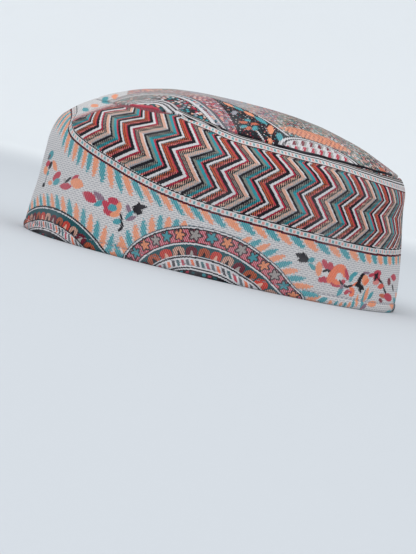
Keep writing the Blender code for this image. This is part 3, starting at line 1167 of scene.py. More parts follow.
# The front paisley stands again on the rim behind, this far round. Then what both
# kinds share: least and most radius, depth of the bands, spacing of the spots,
# teeth of the leaves, points of a star, and slope and half the length of a dash.
BACK_PAISLEY = (258.0, 0.0)
PAISLEY_RADII = (40, 65)
PAISLEY_DEPTH = 24
PAISLEY_SPOTS = (2.7, 1.9)
PAISLEY_TOOTH = 1.8
STAR_POINTS = 5.0
DASH_SLOPE = 0.55
DASH_HALF = 1.4

# Edge of the paisley's head over the zigzag: height of its foremost place, how
# far in front that is, its bend, its width, and threads by depth in centimetres.
HEAD_TIP = 83
HEAD_FRONT = 12.0
HEAD_BEND = 0.0208
HEAD_EDGE_WIDTH = 6.2
CENTIMETRE = 10
HEAD_EDGE = (
    (0.0, "slate"), (0.05, "white"), (0.14, "salmon"), (0.24, "white"), (0.31, "black"),
    (0.36, "tan"), (0.48, "crimson"), (0.56, "slate"),
)  # fmt: skip

# Ribbon along the crown seam: how far it lies below the seam by place, where it
# begins, how deep its foot is, and its size. Then where the fine lines above it
# begin, their heights, those of the thick black band of painted seam shadow and
# where it runs, and the fine lines' threads.
SEAM_RIBBON = (
    (-27, -14), (20, -12), (40, -6), (50, -4), (62, -1.2), (75, 0.4), (85, 1.3), (92, 2.6),
    (100, 3.4), (120, 2.9), (150, 2.9), (167, 3.9), (180, 4.5), (191, 4.8), (270, 4.8),
)  # fmt: skip
SEAM_RIBBON_FROM = 63.0
SEAM_RIBBON_FOOT = 3.35
SEAM_RIBBON_SIZE = 1.2
SEAM_LINES_FROM = 57.0
SEAM_LINES_HEIGHT = (-3.2, 0.4)
SEAM_SHADOW_HEIGHT = (-1.2, 0.8)
SEAM_SHADOW_SPAN = (124, 220)
SEAM_LINES = ((0.0, "black"), (0.28, "tan"), (0.4, "black"), (0.52, "white"))

# Crown, where a place's first number runs back and its second out sideways: the
# paisley's head with the slanting line that ends it and its beds of flowers, the
# edges of the light ground in front, the medallion on top, the herringbone leaf
# and the striped paisley. Then bands of the head outwards from its middle,
# colours of the ground from front to back, small flowers, leaves and petals.
HEAD_MIDDLE = (-76.0, 31.0)
HEAD_SIZE = (29.0, 24.0)
HEAD_SPAN = 1.8
HEAD_END = 31.0
HEAD_END_SLOPE = 0.56
HEAD_REST = 20.0
HEAD_RIM_FROM = 43.0
FLOWER_BEDS = ((0.67, 0.95), (1.04, 1.09))
BROW_SIDE = -0.5
BROW_FRONT = -68.5
MEDALLION = (-39.0, 9.0)
MEDALLION_SCALE = 0.5
HERRINGBONE_MIDDLE = (10.5, 56.2)
HERRINGBONE_TURN = 0.14
HERRINGBONE_SIZE = (20.0, 5.2)
HERRINGBONE_PITCH = 2.4
STRIPED_MIDDLE = (5.5, 71.3)
STRIPED_SIZE = (23.0, 10.2)
STRIPED_PARTING = 66.8
STRIPED_PITCH = 4.9
HEAD_BANDS = (
    (0.0, "coal"), (0.45, "white"), (0.5, "black"), (0.54, "white"), (0.57, "coal"),
    (0.615, "white"), (0.65, "coal"), (0.97, "white"), (1.03, "grey"), (1.1, "white"),
    (1.125, "slate"), (1.17, "mauve"),
)  # fmt: skip
FAR_SIDE_FRONT = 80.0
FAR_SIDE_SPAN = 180.0
FAR_SIDE = (
    (-80, "grey"), (-71, "tan"), (-65, "salmon"), (-61, "mauve"), (-57, "apricot"), (-52, "sage"),
    (-45, "tan"), (-36, "grey"), (-27, "tan"), (-16, "grey"), (-4, "tan"), (9, "mauve"),
    (17, "sage"), (25, "olive"), (31, "coal"), (36, "sage"), (54, "slate"), (62, "sage"),
    (71, "olive"), (78, "coal"), (86, "maroon"), (93, "tan"),
)  # fmt: skip
GROUND_FLOWERS = (
    (0.0, "salmon"), (0.16, "sage"), (0.3, "white"), (0.44, "teal"), (0.54, "apricot"),
    (0.66, "coal"), (0.74, "white"), (0.84, "crimson"), (0.92, "pine"),
)  # fmt: skip
HEAD_FLOWERS = (
    (0.0, "apricot"), (0.18, "pine"), (0.3, "white"), (0.44, "maroon"), (0.56, "grey"),
    (0.68, "crimson"), (0.8, "teal"), (0.9, "black"),
)  # fmt: skip
CROWN_LEAVES = (
    ("peach", "leaf", -29.4, 27, -26.8, 35, 3), ("teal", "leaf", -26.4, 31.6, -23.6, 39.4, 3),
    ("peach", "leaf", -23.4, 38.4, -20.2, 45.6, 3.2), ("teal", "leaf", -20.4, 44, -16.2, 51.8, 3.8),
    ("peach", "leaf", -18.6, 60, -14, 51.6, 3.4), ("teal", "leaf", -15.4, 64.4, -12, 57.8, 3.4),
    ("orange", "petal", -31.4, 51.2, -27, 50.8, 2.4), ("orange", "petal", -30.4, 56.8, -27, 55, 2.4),
    ("orange", "petal", -25.8, 52.4, -21.6, 51.8, 2.2), ("teal", "petal", -32.8, 54.8, -28.6, 54, 2),
    ("teal", "petal", -27, 57.6, -23.4, 54, 2.6), ("teal", "petal", -28, 49.4, -24.4, 48.6, 2),
    ("white", "petal", -25, 57.4, -24, 65, 1), ("peach", "petal", -21.4, 66, -19.4, 62.6, 2.2),
    ("grey", "petal", -32, 44, -28, 39, 2.4), ("orange", "leaf", 46.5, 66, 52.5, 58.5, 5),
    ("crimson", "leaf", -81, 13, -62.5, 37, 5.6),
    ("teal", "leaf", -90.6, -6, -90.2, 6.4, 2.6), ("peach", "leaf", -84, -7, -86.6, 6.4, 3),
    ("teal", "leaf", -75, -11, -81.6, 5.4, 3), ("peach", "leaf", -70.4, -10, -77, 5, 3),
    ("peach", "leaf", -93.4, -6, -94.6, 5, 2.6),
)  # fmt: skip

# Weave: the floats of the ground's faint lines, then in metres the spacings of
# the relief's threads, the lining's threads and the sewing thread's twist, and
# the relief's depth. Last how single threads are told apart by place, and the
# colours of shaded, worn and thick pale threads.
GROUND_COURSE = 0.98
GROUND_FLOAT = 2.6
FLOAT_STEP = 1.37
FLOAT_LENGTH = 0.7
FLOAT_WIDTH = 0.34
WARP = 0.00046
WEFT = 0.00052
TWILL_RIB = 0.00105
LINING_THREAD = 0.0009
SEWING_TWIST = 0.0006
BUMP_DEPTH = 0.00022
CHANCE = (12.7, 78.3)
DARK_THREAD = (0.02, 0.02, 0.024)
WORN_THREAD = (0.52, 0.51, 0.53)
PALE_THREAD = (0.7, 0.68, 0.64)


def threads():
    """Sets a pattern place to whole threads and gives the twill that crosses it."""
    board = Board.group("Threads", PLACE, [*PLACE, *TOOTHED, ("Ground Line", "Float")])
    u = board.given("U")
    v = board.given("V")
    twill = ((u + v * TWILL_SLOPE) / TWILL).fract()
    hatch = twill.below(TWILL_WIDTH)
    course = (v / GROUND_COURSE).floor()
    dash = ((u + course * FLOAT_STEP) / GROUND_FLOAT).fract().below(FLOAT_LENGTH)
    line = (v / GROUND_COURSE).fract().below(FLOAT_WIDTH) * dash
    u = (u / THREAD).floor() * THREAD + THREAD / 2
    v = (v / THREAD).floor() * THREAD + THREAD / 2
    tooth = board.math("PINGPONG", twill, 0.5) * TWILL_TOOTH - 0.37
    results = {
        "U": u,
        "V": v,
        "Toothed U": u + tooth,
        "Toothed V": v + tooth * 0.6,
        "Hatch": hatch,
        "Ground Line": line,
    }
    return board.give(**results)


def band_place():
    """Pattern place on the band, folded so that both sides are alike."""
    board = Board.group("Band Place", [("Map", "Vector")], PLACE)
    u, v = board.split(board.given("Map"))
    span = PATTERN_END - PATTERN_START
    u = board.math("PINGPONG", u * TO_MM - PATTERN_START, span) + PATTERN_START
    return board.give(U=u, V=v * TO_MM)


def crown_place():
    """Pattern place on the crown: its plan, folded on the band's own fold."""
    board = Board.group("Crown Place", [("Object", "Vector")], [*PLACE, *CELLS])
    turned = board.mapped(board.given("Object"), -FOLD_TURN, (TO_MM, TO_MM, 0))
    folded = board.add("ShaderNodeVectorMath", operation="ABSOLUTE")
    board.feed(folded.inputs[0], turned)
    raised = board.add("ShaderNodeVectorMath", operation="MULTIPLY_ADD")
    board.feed(raised.inputs[0], turned)
    raised.inputs[1].default_value = (0, 1, 0)
    raised.inputs[2].default_value = (0, 0, 0)
    sided = board.add("ShaderNodeVectorMath", operation="MULTIPLY_ADD")
    board.feed(sided.inputs[0], Value(board, folded.outputs[0]))
    sided.inputs[1].default_value = (1, 0, 0)
    board.feed(sided.inputs[2], Value(board, raised.outputs[0]))
    place = board.mapped(Value(board, sided.outputs[0]), FOLD_TURN, (1, 1, 0))
    cells = board.add("ShaderNodeTexVoronoi", voronoi_dimensions="2D")
    cells.inputs["Scale"].default_value = 0.6
    cells.inputs["Randomness"].default_value = 0.85
    board.feed(cells.inputs["Vector"], place)
    pick = board.split(Value(board, cells.outputs["Color"]))[0]
    side, back = board.split(place)
    near = Value(board, cells.outputs["Distance"])
    return board.give(U=back, V=side, Near=near, Pick=pick)


def light_ground(ink):
    """Light ground with its faint broken lines."""
    board = Board.group("Light Ground", [("Ground Line", "Float")], PAINTED)
    line = board.given("Ground Line") * 0.85
    return board.give(Colour=board.mix(line, ink["ground"], ink["grey"]))


def motifs(name, rows, ink):
    """Small leaves and petals woven on the ground."""
    board = Board.group(name, CLOTH, PAINTED)
    u = board.given("Toothed U")
    v = board.given("Toothed V")
    colour = board.given("Colour")
    pale = 0.0
    for thread, kind, u0, v0, u1, v1, width in rows:
        reach = math.hypot(u1 - u0, v1 - v0) / 2
        angle = math.atan2(v1 - v0, u1 - u0)
        middle = ((u0 + u1) / 2, (v0 + v1) / 2)
        along, across = board.seen(u, v, middle, angle, (reach, width / 2))
        over = across * across if kind == "petal" else abs(across)
        mask = board.math("MULTIPLY_ADD", along, along, over).below(1.0)
        colour = board.mix(mask, colour, ink[thread])
        share = TWILL_SHARE.get(thread, 0.16)
        if pale:
            pale = pale + mask * (share - pale)
        else:
            pale = mask * share
    return board.give(Colour=board.mix(pale * board.given("Hatch"), colour, ink["white"]))


def cycle(board, count, ink, *names):
    """One of several threads in turn, by a whole number."""
    steps = len(names)
    share = ((count + 0.5) / steps).fract()
    stops = [(max(i / steps - RAMP_LEAD, 0.0), ink[name]) for i, name in enumerate(names)]
    return board.ramp(share, stops)


def threads_by_place(rows, ink, span=1.0, start=0.0):
    """Stops of a ramp from rows of place and thread."""
    return [((place - start) / span, ink[name]) for place, name in rows]


def nearest(count):
    """Whole number nearest to a count."""
    return (count + 0.5).floor()


def odd(count):
    """1 for an odd whole number and 0 for an even one."""
    return (count / 2).fract().above(0.25)


def ribbon_rise():
    """Height above the dark line under the lower ribbon."""
    board = Board.group("Ribbon Rise", PLACE, [("Rise", "Float")])
    line = board.curve(board.given("U"), RIBBON_LINE, (PATTERN_START, PATTERN_END), (20, 80))
    return board.give(Rise=board.given("V") - line)


def hanging_leaves(ink, rise_tree):
    """Leaves of two colours in turn that hang from the lower ribbon."""
    board = Board.group("Hanging Leaves", CLOTH, PAINTED)
    u = board.given("Toothed U")
    drop = 0.0 - board.use(rise_tree, U=u, V=board.given("Toothed V"))["Rise"]
    span = (PATTERN_START - 3, PATTERN_END)
    root = u - drop * board.curve(u, HANGING_SLANT, span, (0, 1))
    count = board.curve(root, HANGING_COUNT, span, (-10, 48))
    leaf = nearest(count)
    off = count - leaf
    share = drop / board.curve(u, HANGING_LENGTH, span, (0, 16)) - off * 0.35
    share = abs(share * 1.3 - 0.3)
    blunt = u.above(HANGING_BLUNT_FROM) * 3.4 + 2.2
    teeth = (drop / HANGING_TOOTH).fract() * LEAF_TEETH
    width = 0.51 - board.math("POWER", share, blunt) * 0.42 - teeth
    mask = abs(off).below(width) * drop.above(0.3)
    tint = board.mix(odd(leaf), ink["peach"], ink["teal"])
    tint = board.mix(board.given("Hatch") * 0.24, tint, ink["white"])
    return board.give(Colour=board.mix(mask, board.given("Colour"), tint))


def dotted_ribbon(ink):
    """Pale ribbon between dark lines, with a row of dots of two colours."""
    board = Board.group(
        "Dotted Ribbon", [("Along", "Float"), ("Rise", "Float"), ("Colour", "Color")], PAINTED
    )
    along = board.given("Along")
    rise = board.given("Rise")
    colour = board.mix(rise.between(*RIBBON_PALE), board.given("Colour"), ink["ground"])
    dark = board.mix((along / RIBBON_DASH).fract().below(0.4), ink["black"], ink["maroon"])
    colour = board.mix(rise.between(*RIBBON_LOW_LINE), colour, dark)
    colour = board.mix(rise.between(*RIBBON_HIGH_LINE), colour, ink["black"])
    cell = along / RIBBON_DOT
    dot = abs(cell.fract() - 0.5).below(0.3) * rise.between(*RIBBON_DOTS)
    tint = board.mix(odd(cell.floor()), ink["salmon"], ink["teal"])
    return board.give(Colour=board.mix(dot * 0.8, colour, tint))


def zigzag(ink):
    """Stripes of the paisley's field, running up it in steps."""
    board = Board.group("Zigzag Field", PLACE, PAINTED)
    u = board.given("U")
    v = board.given("V")
    span = (PATTERN_START, PATTERN_END)
    line = board.curve(u, ZIGZAG_LINE, span, (20, 80))
    up = (v - line - ZIGZAG_FOOT) * board.curve(u, ZIGZAG_STRETCH, span, (0.8, 1.2))
    limbs = up / ZIGZAG_RISE
    swing = board.math("PINGPONG", limbs, 1.0) * ZIGZAG_SWING
    lean = (u - ZIGZAG_UPRIGHT) * up * ZIGZAG_DRIFT
    across = u + board.curve(u, ZIGZAG_SHIFT, span, (0, 6)) + swing - lean
    place = board.math("WRAP", across - ZIGZAG_START, ZIGZAG_SET, 0.0)
    rising = (limbs / 2).fract().above(0.5)
    share = place / ZIGZAG_SET
    pale_ribs = [(place, thread) for place, thread, _ in ZIGZAG_RIBS]
    dark_ribs = [(place, thread) for place, _, thread in ZIGZAG_RIBS]
    falling = board.ramp(share, threads_by_place(ZIGZAG_THREADS, ink, ZIGZAG_SET))
    pale = board.ramp(share, threads_by_place(pale_ribs, ink, ZIGZAG_SET))
    dark = board.ramp(share, threads_by_place(dark_ribs, ink, ZIGZAG_SET))
    ribs = ((u + v * 0.12) / ZIGZAG_RIB).fract().above(0.43)
    return board.give(Colour=board.mix(rising, falling, board.mix(ribs, pale, dark)))


def striped_field(ink, rise_tree, ribbon_tree, zigzag_tree):
    """Lower ribbon, the zigzag above it and the edge of the paisley's head."""
    board = Board.group("Striped Field", CLOTH, PAINTED)
    u = board.given("U")
    v = board.given("V")
    rise = board.use(rise_tree, U=u, V=v)["Rise"]
    head = (HEAD_TIP - v) * (HEAD_TIP - v) * HEAD_BEND - HEAD_FRONT + u
    over = rise.above(3.0)
    stripes = board.use(zigzag_tree, U=u, V=v)["Colour"]
    colour = board.mix(head.above(0.0) * over, board.given("Colour"), stripes)
    edge = board.ramp(head / CENTIMETRE, threads_by_place(HEAD_EDGE, ink))
    colour = board.mix(head.between(0.0, HEAD_EDGE_WIDTH) * over, colour, edge)
    colour = board.use(ribbon_tree, Along=u, Rise=rise, Colour=colour)["Colour"]
    return board.give(Colour=colour)


def seam_ribbon_and_shadow(ink, ribbon_tree):
    """Dotted ribbon and fine lines that follow the crown seam, and a painted seam shadow."""
    board = Board.group("Seam Ribbon", [*CLOTH, ("Below Seam", "Float")], PAINTED)
    u = board.given("U")
    below = board.given("Below Seam")
    down = below - board.curve(u, SEAM_RIBBON, (PATTERN_START, PATTERN_END), (-15, 5))
    lines = board.ramp((down + 4.0) / 5.0, threads_by_place(SEAM_LINES, ink))
    span = down.between(*SEAM_LINES_HEIGHT) * u.above(SEAM_LINES_FROM)
    colour = board.mix(span, board.given("Colour"), lines)
    # Painted shadow: a thick black band along the seam, where the crown bulges over it.
    thick = below.between(*SEAM_SHADOW_HEIGHT) * u.between(*SEAM_SHADOW_SPAN)
    colour = board.mix(thick, colour, ink["black"])
    rise = (SEAM_RIBBON_FOOT - down) / SEAM_RIBBON_SIZE
    ribbon = board.use(ribbon_tree, Along=u + 0.7, Rise=rise, Colour=colour)["Colour"]
    span = u.above(SEAM_RIBBON_FROM) * down.below(3.5)
    return board.give(Colour=board.mix(span, colour, ribbon))


def paisley(name, ink, middle, outline, leaf, bands, fan, dash, star=None):
    """Rounded paisley on the rim: leaves round it, bands, stars, fans and dashes."""
    board = Board.group(name, CLOTH, PAINTED)
    colour = leaves_round(board, ink, middle, outline, leaf)
    span = (outline[0][0], outline[-1][0])
    x = board.given("U") - middle[0]
    y = board.given("V") - middle[1]
    turn = board.math("ARCTAN2", y, x) * math.degrees(1)
    depth = board.curve(turn, outline, span, PAISLEY_RADII) - board.far(x, y)
    stops = threads_by_place(bands, ink, PAISLEY_DEPTH)
    colour = board.mix(depth.above(0.0), colour, board.ramp(depth / PAISLEY_DEPTH, stops))
    grain = board.given("Hatch") * depth.between(fan["from"], fan["depth"] + fan["foot"]) * 0.75
    colour = board.mix(grain, colour, ink["coal"])
    if star:
        colour = stars(board, ink, colour, turn, depth, span, star)
    colour = fans(board, ink, colour, turn, depth, span, fan)
    colour = dashes(board, ink, colour, x, y, depth, dash)
    return board.give(Colour=spots(board, ink, colour, x, depth, dash["depth"] + 4.0))


def leaves_round(board, ink, middle, outline, leaf):
    """Leaves of two colours in turn that stand round a paisley."""
    span = (outline[0][0], outline[-1][0])
    x = board.given("Toothed U") - middle[0]
    y = board.given("Toothed V") - middle[1]
    turn = board.math("ARCTAN2", y, x) * math.degrees(1)
    edge = board.curve(turn, outline, span, PAISLEY_RADII)
    out = board.far(x, y) - edge
    root = turn + out * leaf["lean"]
    count = board.curve(root, leaf["count"], span, (-12, 20))
    whole = nearest(count)
    share = abs(out / board.curve(root, leaf["reach"], span, (0, 12)) * 1.4 - 0.4)
    width = 0.49 - share * share * 0.4 - (out / PAISLEY_TOOTH).fract() * LEAF_TEETH
    mask = abs(count - whole).below(width) * out.above(0.0)
    tint = board.mix(odd(whole), ink["peach"], ink["teal"])
    tint = board.mix(board.given("Hatch") * leaf["twill"], tint, ink["white"])
    return board.mix(mask, board.given("Colour"), tint)


def stars(board, ink, colour, turn, depth, span, star):
    """Row of five-lobed stars on a band that the twill makes paler."""
    hatch = board.given("Hatch")
    pale = hatch * depth.between(*star["band"]) * 0.48
    colour = board.mix(pale, colour, ink["white"])
    count = board.curve(turn, star["count"], span, (-9, 9))
    whole = nearest(count)
    across = (count - whole) * star["width"]
    deep = depth - star["depth"]
    lobes = board.math("COSINE", board.math("ARCTAN2", deep, across) * STAR_POINTS) * 0.7
    far = board.far(across, deep) - lobes
    edge = far.below(star["edge"]) * (1.0 - hatch * 0.25)
    colour = board.mix(edge, colour, ink["black"])
    tint = cycle(board, whole, ink, "teal", "peach", "tan")
    return board.mix(far.below(star["core"]) * (1.0 - hatch * 0.33), colour, tint)


def fans(board, ink, colour, turn, depth, span, fan):
    """Row of domed fans, each with a stem up its middle."""
    hatch = board.given("Hatch")
    count = board.curve(turn, fan["count"], span, (-12, 8))
    whole = nearest(count)
    across = (count - whole) * fan["width"]
    deep = depth - fan["depth"]
    dome = board.square(across / fan["half"], deep.least(0.0) / fan["rise"]).below(1.0)
    tint = cycle(board, whole, ink, "red", "apricot", "maroon", "orange")
    dark = cycle(board, whole, ink, "maroon", "coal", "black", "coal")
    tint = board.mix(hatch * fan["twill"], tint, dark)
    colour = board.mix(dome * deep.below(fan["foot"]), colour, tint)
    stem = abs(across).below(0.4 + deep * 0.35) * deep.between(-0.4, fan["foot"])
    core = cycle(board, whole, ink, "apricot", "black", "tan", "black")
    return board.mix(stem, colour, core)


def dashes(board, ink, colour, x, y, depth, dash):
    """Row of slanting dashes of several threads."""
    count = (x + y * DASH_SLOPE - dash["start"]) / dash["pitch"]
    whole = nearest(count)
    span = (dash["depth"] - DASH_HALF, dash["depth"] + DASH_HALF)
    mask = abs(count - whole).below(0.3) * depth.between(*span)
    tint = cycle(board, whole, ink, "coral", "coal", "pine", "crimson", "slate")
    return board.mix(mask * 0.9, colour, tint)


def spots(board, ink, colour, x, depth, deepest):
    """Staggered rows of small spots that fill a paisley's heart."""
    pitch, rise = PAISLEY_SPOTS
    row = (depth / rise).floor()
    cell = (x + row * 1.3) / pitch
    spot = cell.fract().between(0.2, 0.75) * (depth / rise).fract().between(0.2, 0.85)
    tint = cycle(board, cell.floor() + row * 2.0, ink, "crimson", "pine", "black", "teal")
    return board.mix(spot * depth.above(deepest) * 0.85, colour, tint)


def side_paisley(ink):
    """Paisley on the side, with its row of stars."""
    return paisley(
        "Side Paisley", ink, SIDE_MIDDLE, SIDE_OUTLINE,
        leaf={"lean": 0.45, "twill": 0.24, "count": SIDE_LEAF_COUNT, "reach": SIDE_LEAF_REACH},
        bands=SIDE_BANDS,
        fan={"count": SIDE_FANS, "width": 6.1, "depth": 12.0, "half": 2.75, "rise": 2.3,
             "foot": 1.9, "from": 8.9, "twill": 0.78},
        dash={"start": 9.1, "pitch": 2.48, "depth": 17.4},
        star={"count": SIDE_STARS, "width": 7.3, "depth": 4.3, "band": (1.9, 7.5),
              "edge": 2.95, "core": 1.9},
    )  # fmt: skip


def front_paisley(ink):
    """Lower paisley in front."""
    return paisley(
        "Front Paisley", ink, FRONT_MIDDLE, FRONT_OUTLINE,
        leaf={"lean": -0.72, "twill": 0.23, "count": FRONT_LEAF_COUNT, "reach": FRONT_LEAF_REACH},
        bands=FRONT_BANDS,
        fan={"count": FRONT_FANS, "width": 5.1, "depth": 5.2, "half": 2.3, "rise": 2.0,
             "foot": 1.7, "from": 1.4, "twill": 0.76},
        dash={"start": 0.0, "pitch": 2.1, "depth": 9.2},
    )  # fmt: skip


def flowered_ground(ink):
    """Muted small flowers that fill the crown between its larger forms."""
    board = Board.group("Flowered Ground", [*PLACE, *CELLS, ("Hatch", "Float")], PAINTED)
    slant = board.given("U") + board.given("V") * 0.59 + board.given("Pick") * 12.0 - 6.0
    stops = threads_by_place(FAR_SIDE, ink, FAR_SIDE_SPAN, -FAR_SIDE_FRONT)
    base = board.ramp((slant + FAR_SIDE_FRONT) / FAR_SIDE_SPAN, stops)
    tint = board.ramp(board.given("Pick"), threads_by_place(GROUND_FLOWERS, ink))
    near = board.given("Near").below(0.42) * (board.given("V") / 60.0).most(0.25)
    colour = board.mix(near, base, tint)
    return board.give(Colour=board.mix(board.given("Hatch") * 0.35, colour, ink["tan"]))


def crown_head(ink):
    """Nested bands of the paisley's head where they pass over the crown."""
    board = Board.group("Crown Head", [*CLOTH, *CELLS], PAINTED)
    y = board.given("Toothed U")
    x = board.given("Toothed V")
    along, up = board.seen(y, x, HEAD_MIDDLE, 0.0, HEAD_SIZE)
    ring = board.far(along - up.most(0.0) * 0.08, up.least(0.0))
    bands = board.ramp(ring / HEAD_SPAN, threads_by_place(HEAD_BANDS, ink, HEAD_SPAN))
    diagonal = (x - HEAD_REST) * HEAD_END_SLOPE - HEAD_END - y
    inside = diagonal.above(0.0) * x.above(3.0)
    colour = board.mix(inside, board.given("Colour"), bands)
    tint = board.ramp(board.given("Pick"), threads_by_place(HEAD_FLOWERS, ink))
    spread = ring.below(0.44)
    for bed in FLOWER_BEDS:
        spread = spread + ring.between(*bed)
    spread = spread + ring.above(1.18)
    colour = board.mix(board.given("Near").below(0.46) * spread * inside, colour, tint)
    thin = board.given("Hatch") * ring.above(1.17) * inside * 0.5
    colour = board.mix(thin, colour, ink["salmon"])
    edge = y + (x - HEAD_REST) * 0.09 + 32.3
    dark = inside * x.above(17.0)
    colour = board.mix(edge.above(0.0) * dark, colour, ink["black"])
    sparks = board.given("Near").below(0.22) * edge.above(0.6) * dark * 0.8
    colour = board.mix(sparks, colour, tint)
    turned = ((22.0 - x) / 12.0).most(0.0).least(0.6) * inside
    colour = board.mix(turned, colour, ink["tan"])
    colour = board.mix(diagonal.between(-1.3, 0.0) * x.above(HEAD_RIM_FROM), colour, ink["white"])
    rim = diagonal.between(-2.0, -1.3) * x.above(HEAD_RIM_FROM)
    colour = board.mix(rim, colour, ink["black"])
    return board.give(Colour=colour)


def crown_side(ink):
    """Long paisley beside the seam and the herringbone leaf along it."""
    board = Board.group("Crown Side", CLOTH, PAINTED)
    y = board.given("Toothed U")
    x = board.given("Toothed V")
    across, up = board.seen(y, x, HERRINGBONE_MIDDLE, HERRINGBONE_TURN, HERRINGBONE_SIZE)
    leaf = board.square(across, up)
    stroke = ((y + abs(up + 0.3) * 3.4) / HERRINGBONE_PITCH).fract().below(0.42)
    tint = board.mix(stroke * 0.55, ink["peach"], ink["maroon"])
    fleck = ((y - up * 4.0) / 3.9).fract().above(0.72)
    tint = board.mix(fleck * 0.5, tint, ink["apricot"])
    colour = board.mix(leaf.below(1.0 - stroke * 0.22) * 0.85, board.given("Colour"), tint)
    across, up = board.seen(y, x, STRIPED_MIDDLE, 0.0, STRIPED_SIZE)
    ring = board.far(across, up * (across * 0.32 + 1.0))
    colour = board.mix(ring.below(1.08), colour, ink["black"])
    colour = board.mix(ring.below(1.01), colour, ink["white"])
    colour = board.mix(ring.between(0.88, 0.93), colour, ink["black"])
    lower = x.above(STRIPED_PARTING)
    place = (y + x * 0.5 - lower * 1.2) / STRIPED_PITCH
    slash = place.fract()
    row = abs(x - STRIPED_PARTING).above(0.3) * ring.below(0.84)
    colour = board.mix(slash.below(0.62) * row * 0.7, colour, ink["sage"])
    tint = board.mix(lower, ink["maroon"], ink["crimson"])
    colour = board.mix(slash.below(0.35) * row, colour, tint)
    return board.give(Colour=colour)


def thread_height():
    """Relief of the weave: crossing threads, the twill and the odd thick thread."""
    board = Board.group("Thread Height", [("Map", "Vector")], [("Height", "Float")])
    u, v = board.split(board.given("Map"))
    warp = board.math("SINE", u * (2 * math.pi / WARP))
    weft = board.math("SINE", v * (2 * math.pi / WEFT))
    twill = board.math("SINE", (u - v * 0.62) * (2 * math.pi / TWILL_RIB))
    slubs = board.add("ShaderNodeTexNoise", noise_dimensions="2D")
    slubs.inputs["Scale"].default_value = 900.0
    slubs.inputs["Detail"].default_value = 2.0
    board.feed(slubs.inputs["Vector"], board.given("Map"))
    height = warp * weft * 0.3 + twill * 0.22 + Value(board, slubs.outputs[0]) * 0.5
    return board.give(Height=height)


# Cloth materials


def palette(context):
    """Thread colours by name."""
    colours = context.scene.woven_cap_colours
    return {name: tuple(getattr(colours, name)) for name in WovenCapColours.__annotations__}


def tree_of(name, build, *given):
    """Node group by name, built the first time that it is wanted."""
    return bpy.data.node_groups.get(name) or build(*given)


def weathered():
    """Slight shade of single threads and of wear over larger patches."""
    board = Board.group("Weathered", [*PLACE, ("Object", "Vector"), *UNDER], PAINTED)
    patch = board.add("ShaderNodeTexNoise")
    patch.inputs["Scale"].default_value = 38.0
    patch.inputs["Detail"].default_value = 3.0
    board.feed(patch.inputs["Vector"], board.given("Object"))
    single = board.add("ShaderNodeTexWhiteNoise", noise_dimensions="1D")
    board.feed(single.inputs["W"], board.given("U") * CHANCE[0] + board.given("V") * CHANCE[1])
    shade = Value(board, single.outputs["Value"]) * 0.2
    colour = board.mix(shade, board.given("Colour"), DARK_THREAD)
    worn = (Value(board, patch.outputs[0]) - 0.45).most(0.0) * 0.4
    return board.give(Colour=board.mix(worn, colour, WORN_THREAD))


def cloth_surface(board, shader, colour, height, share=0.5):
    """Joins a cloth's colour and relief to its shader."""
    bump = board.add("ShaderNodeBump")
    bump.inputs["Strength"].default_value = share
    bump.inputs["Distance"].default_value = BUMP_DEPTH
    board.feed(bump.inputs["Height"], height)
    board.feed(shader.inputs["Base Color"], colour)
    board.feed(shader.inputs["Roughness"], height * 0.14 + 0.8)
    board.feed(shader.inputs["Normal"], Value(board, bump.outputs[0]))
    shader.inputs["Specular IOR Level"].default_value = 0.06
    shader.inputs["Sheen Weight"].default_value = 0.04
    shader.inputs["Sheen Roughness"].default_value = 0.5


def new_material(name):
    """New material, with its board and its shader."""
    material = bpy.data.materials.new(name)
    material.use_nodes = True
    return material, Board(material.node_tree), material.node_tree.nodes["Principled BSDF"]


def plain_weave(cloth):
    """Undyed cotton: pale and dark threads crossing over and under."""
    board = Board.group("Plain Weave", [("Map", "Vector")], PAINTED)
    u, v = board.split(board.given("Map"))
    over = (u / LINING_THREAD).fract().below(0.5)
    under = (v / LINING_THREAD).fract().below(0.5)
    same = board.math("COMPARE", over, under, 0.5)
    shade = board.mix(same * 0.4, cloth, tuple(c * 0.7 for c in cloth))
    slubs = board.add("ShaderNodeTexNoise", noise_dimensions="2D")
    slubs.inputs["Scale"].default_value = 160.0
    board.feed(slubs.inputs["Vector"], board.join(u * 0.2, v * 3.0))
    thick = Value(board, slubs.outputs[0]) * 0.3
    return board.give(Colour=board.mix(thick, shade, PALE_THREAD))


def plain_cloth(context):
    """Inner face of both cloth pieces."""
    name = "plain inner cloth"
    found = bpy.data.materials.get(name)
    if found:
        return found
    material, board, shader = new_material(name)
    place = board.cloth_map()
    lining = tuple(context.scene.woven_cap_colours.backing)
    weave = board.use(tree_of("Plain Weave", plain_weave, lining), Map=place)["Colour"]
    height = board.use(tree_of("Thread Height", thread_height), Map=place)["Height"]
    cloth_surface(board, shader, weave, height, 0.7)
    return material


def shifted(cloth, middle, scale):
    """The same threads as if the pattern stood elsewhere, at another scale."""
    out = dict(cloth)
    for key in ("U", "Toothed U"):
        out[key] = (cloth[key] - middle[0]) / scale
    for key in ("V", "Toothed V"):
        out[key] = (cloth[key] - middle[1]) / scale
    out["Hatch"] = cloth["Hatch"].above(0.5)
    return out


def seam_and_wear(board, ink, colour, at, band, cloth):
    """Adds the ribbon along the seam with its painted seam shadow, and the shade of threads and wear."""
    below = board.add("ShaderNodeAttribute", attribute_name="to_seam")
    seam = {"Below Seam": Value(board, below.outputs["Fac"]) * TO_MM}
    ribbon_tree = tree_of("Dotted Ribbon", dotted_ribbon, ink)
    ribbon = tree_of("Seam Ribbon", seam_ribbon_and_shadow, ink, ribbon_tree)
    colour = board.use(ribbon, Colour=colour, **seam, **band)["Colour"]
    worn = tree_of("Weathered", weathered)
    return board.use(worn, U=cloth["U"], V=cloth["V"], Object=at, Colour=colour)["Colour"]


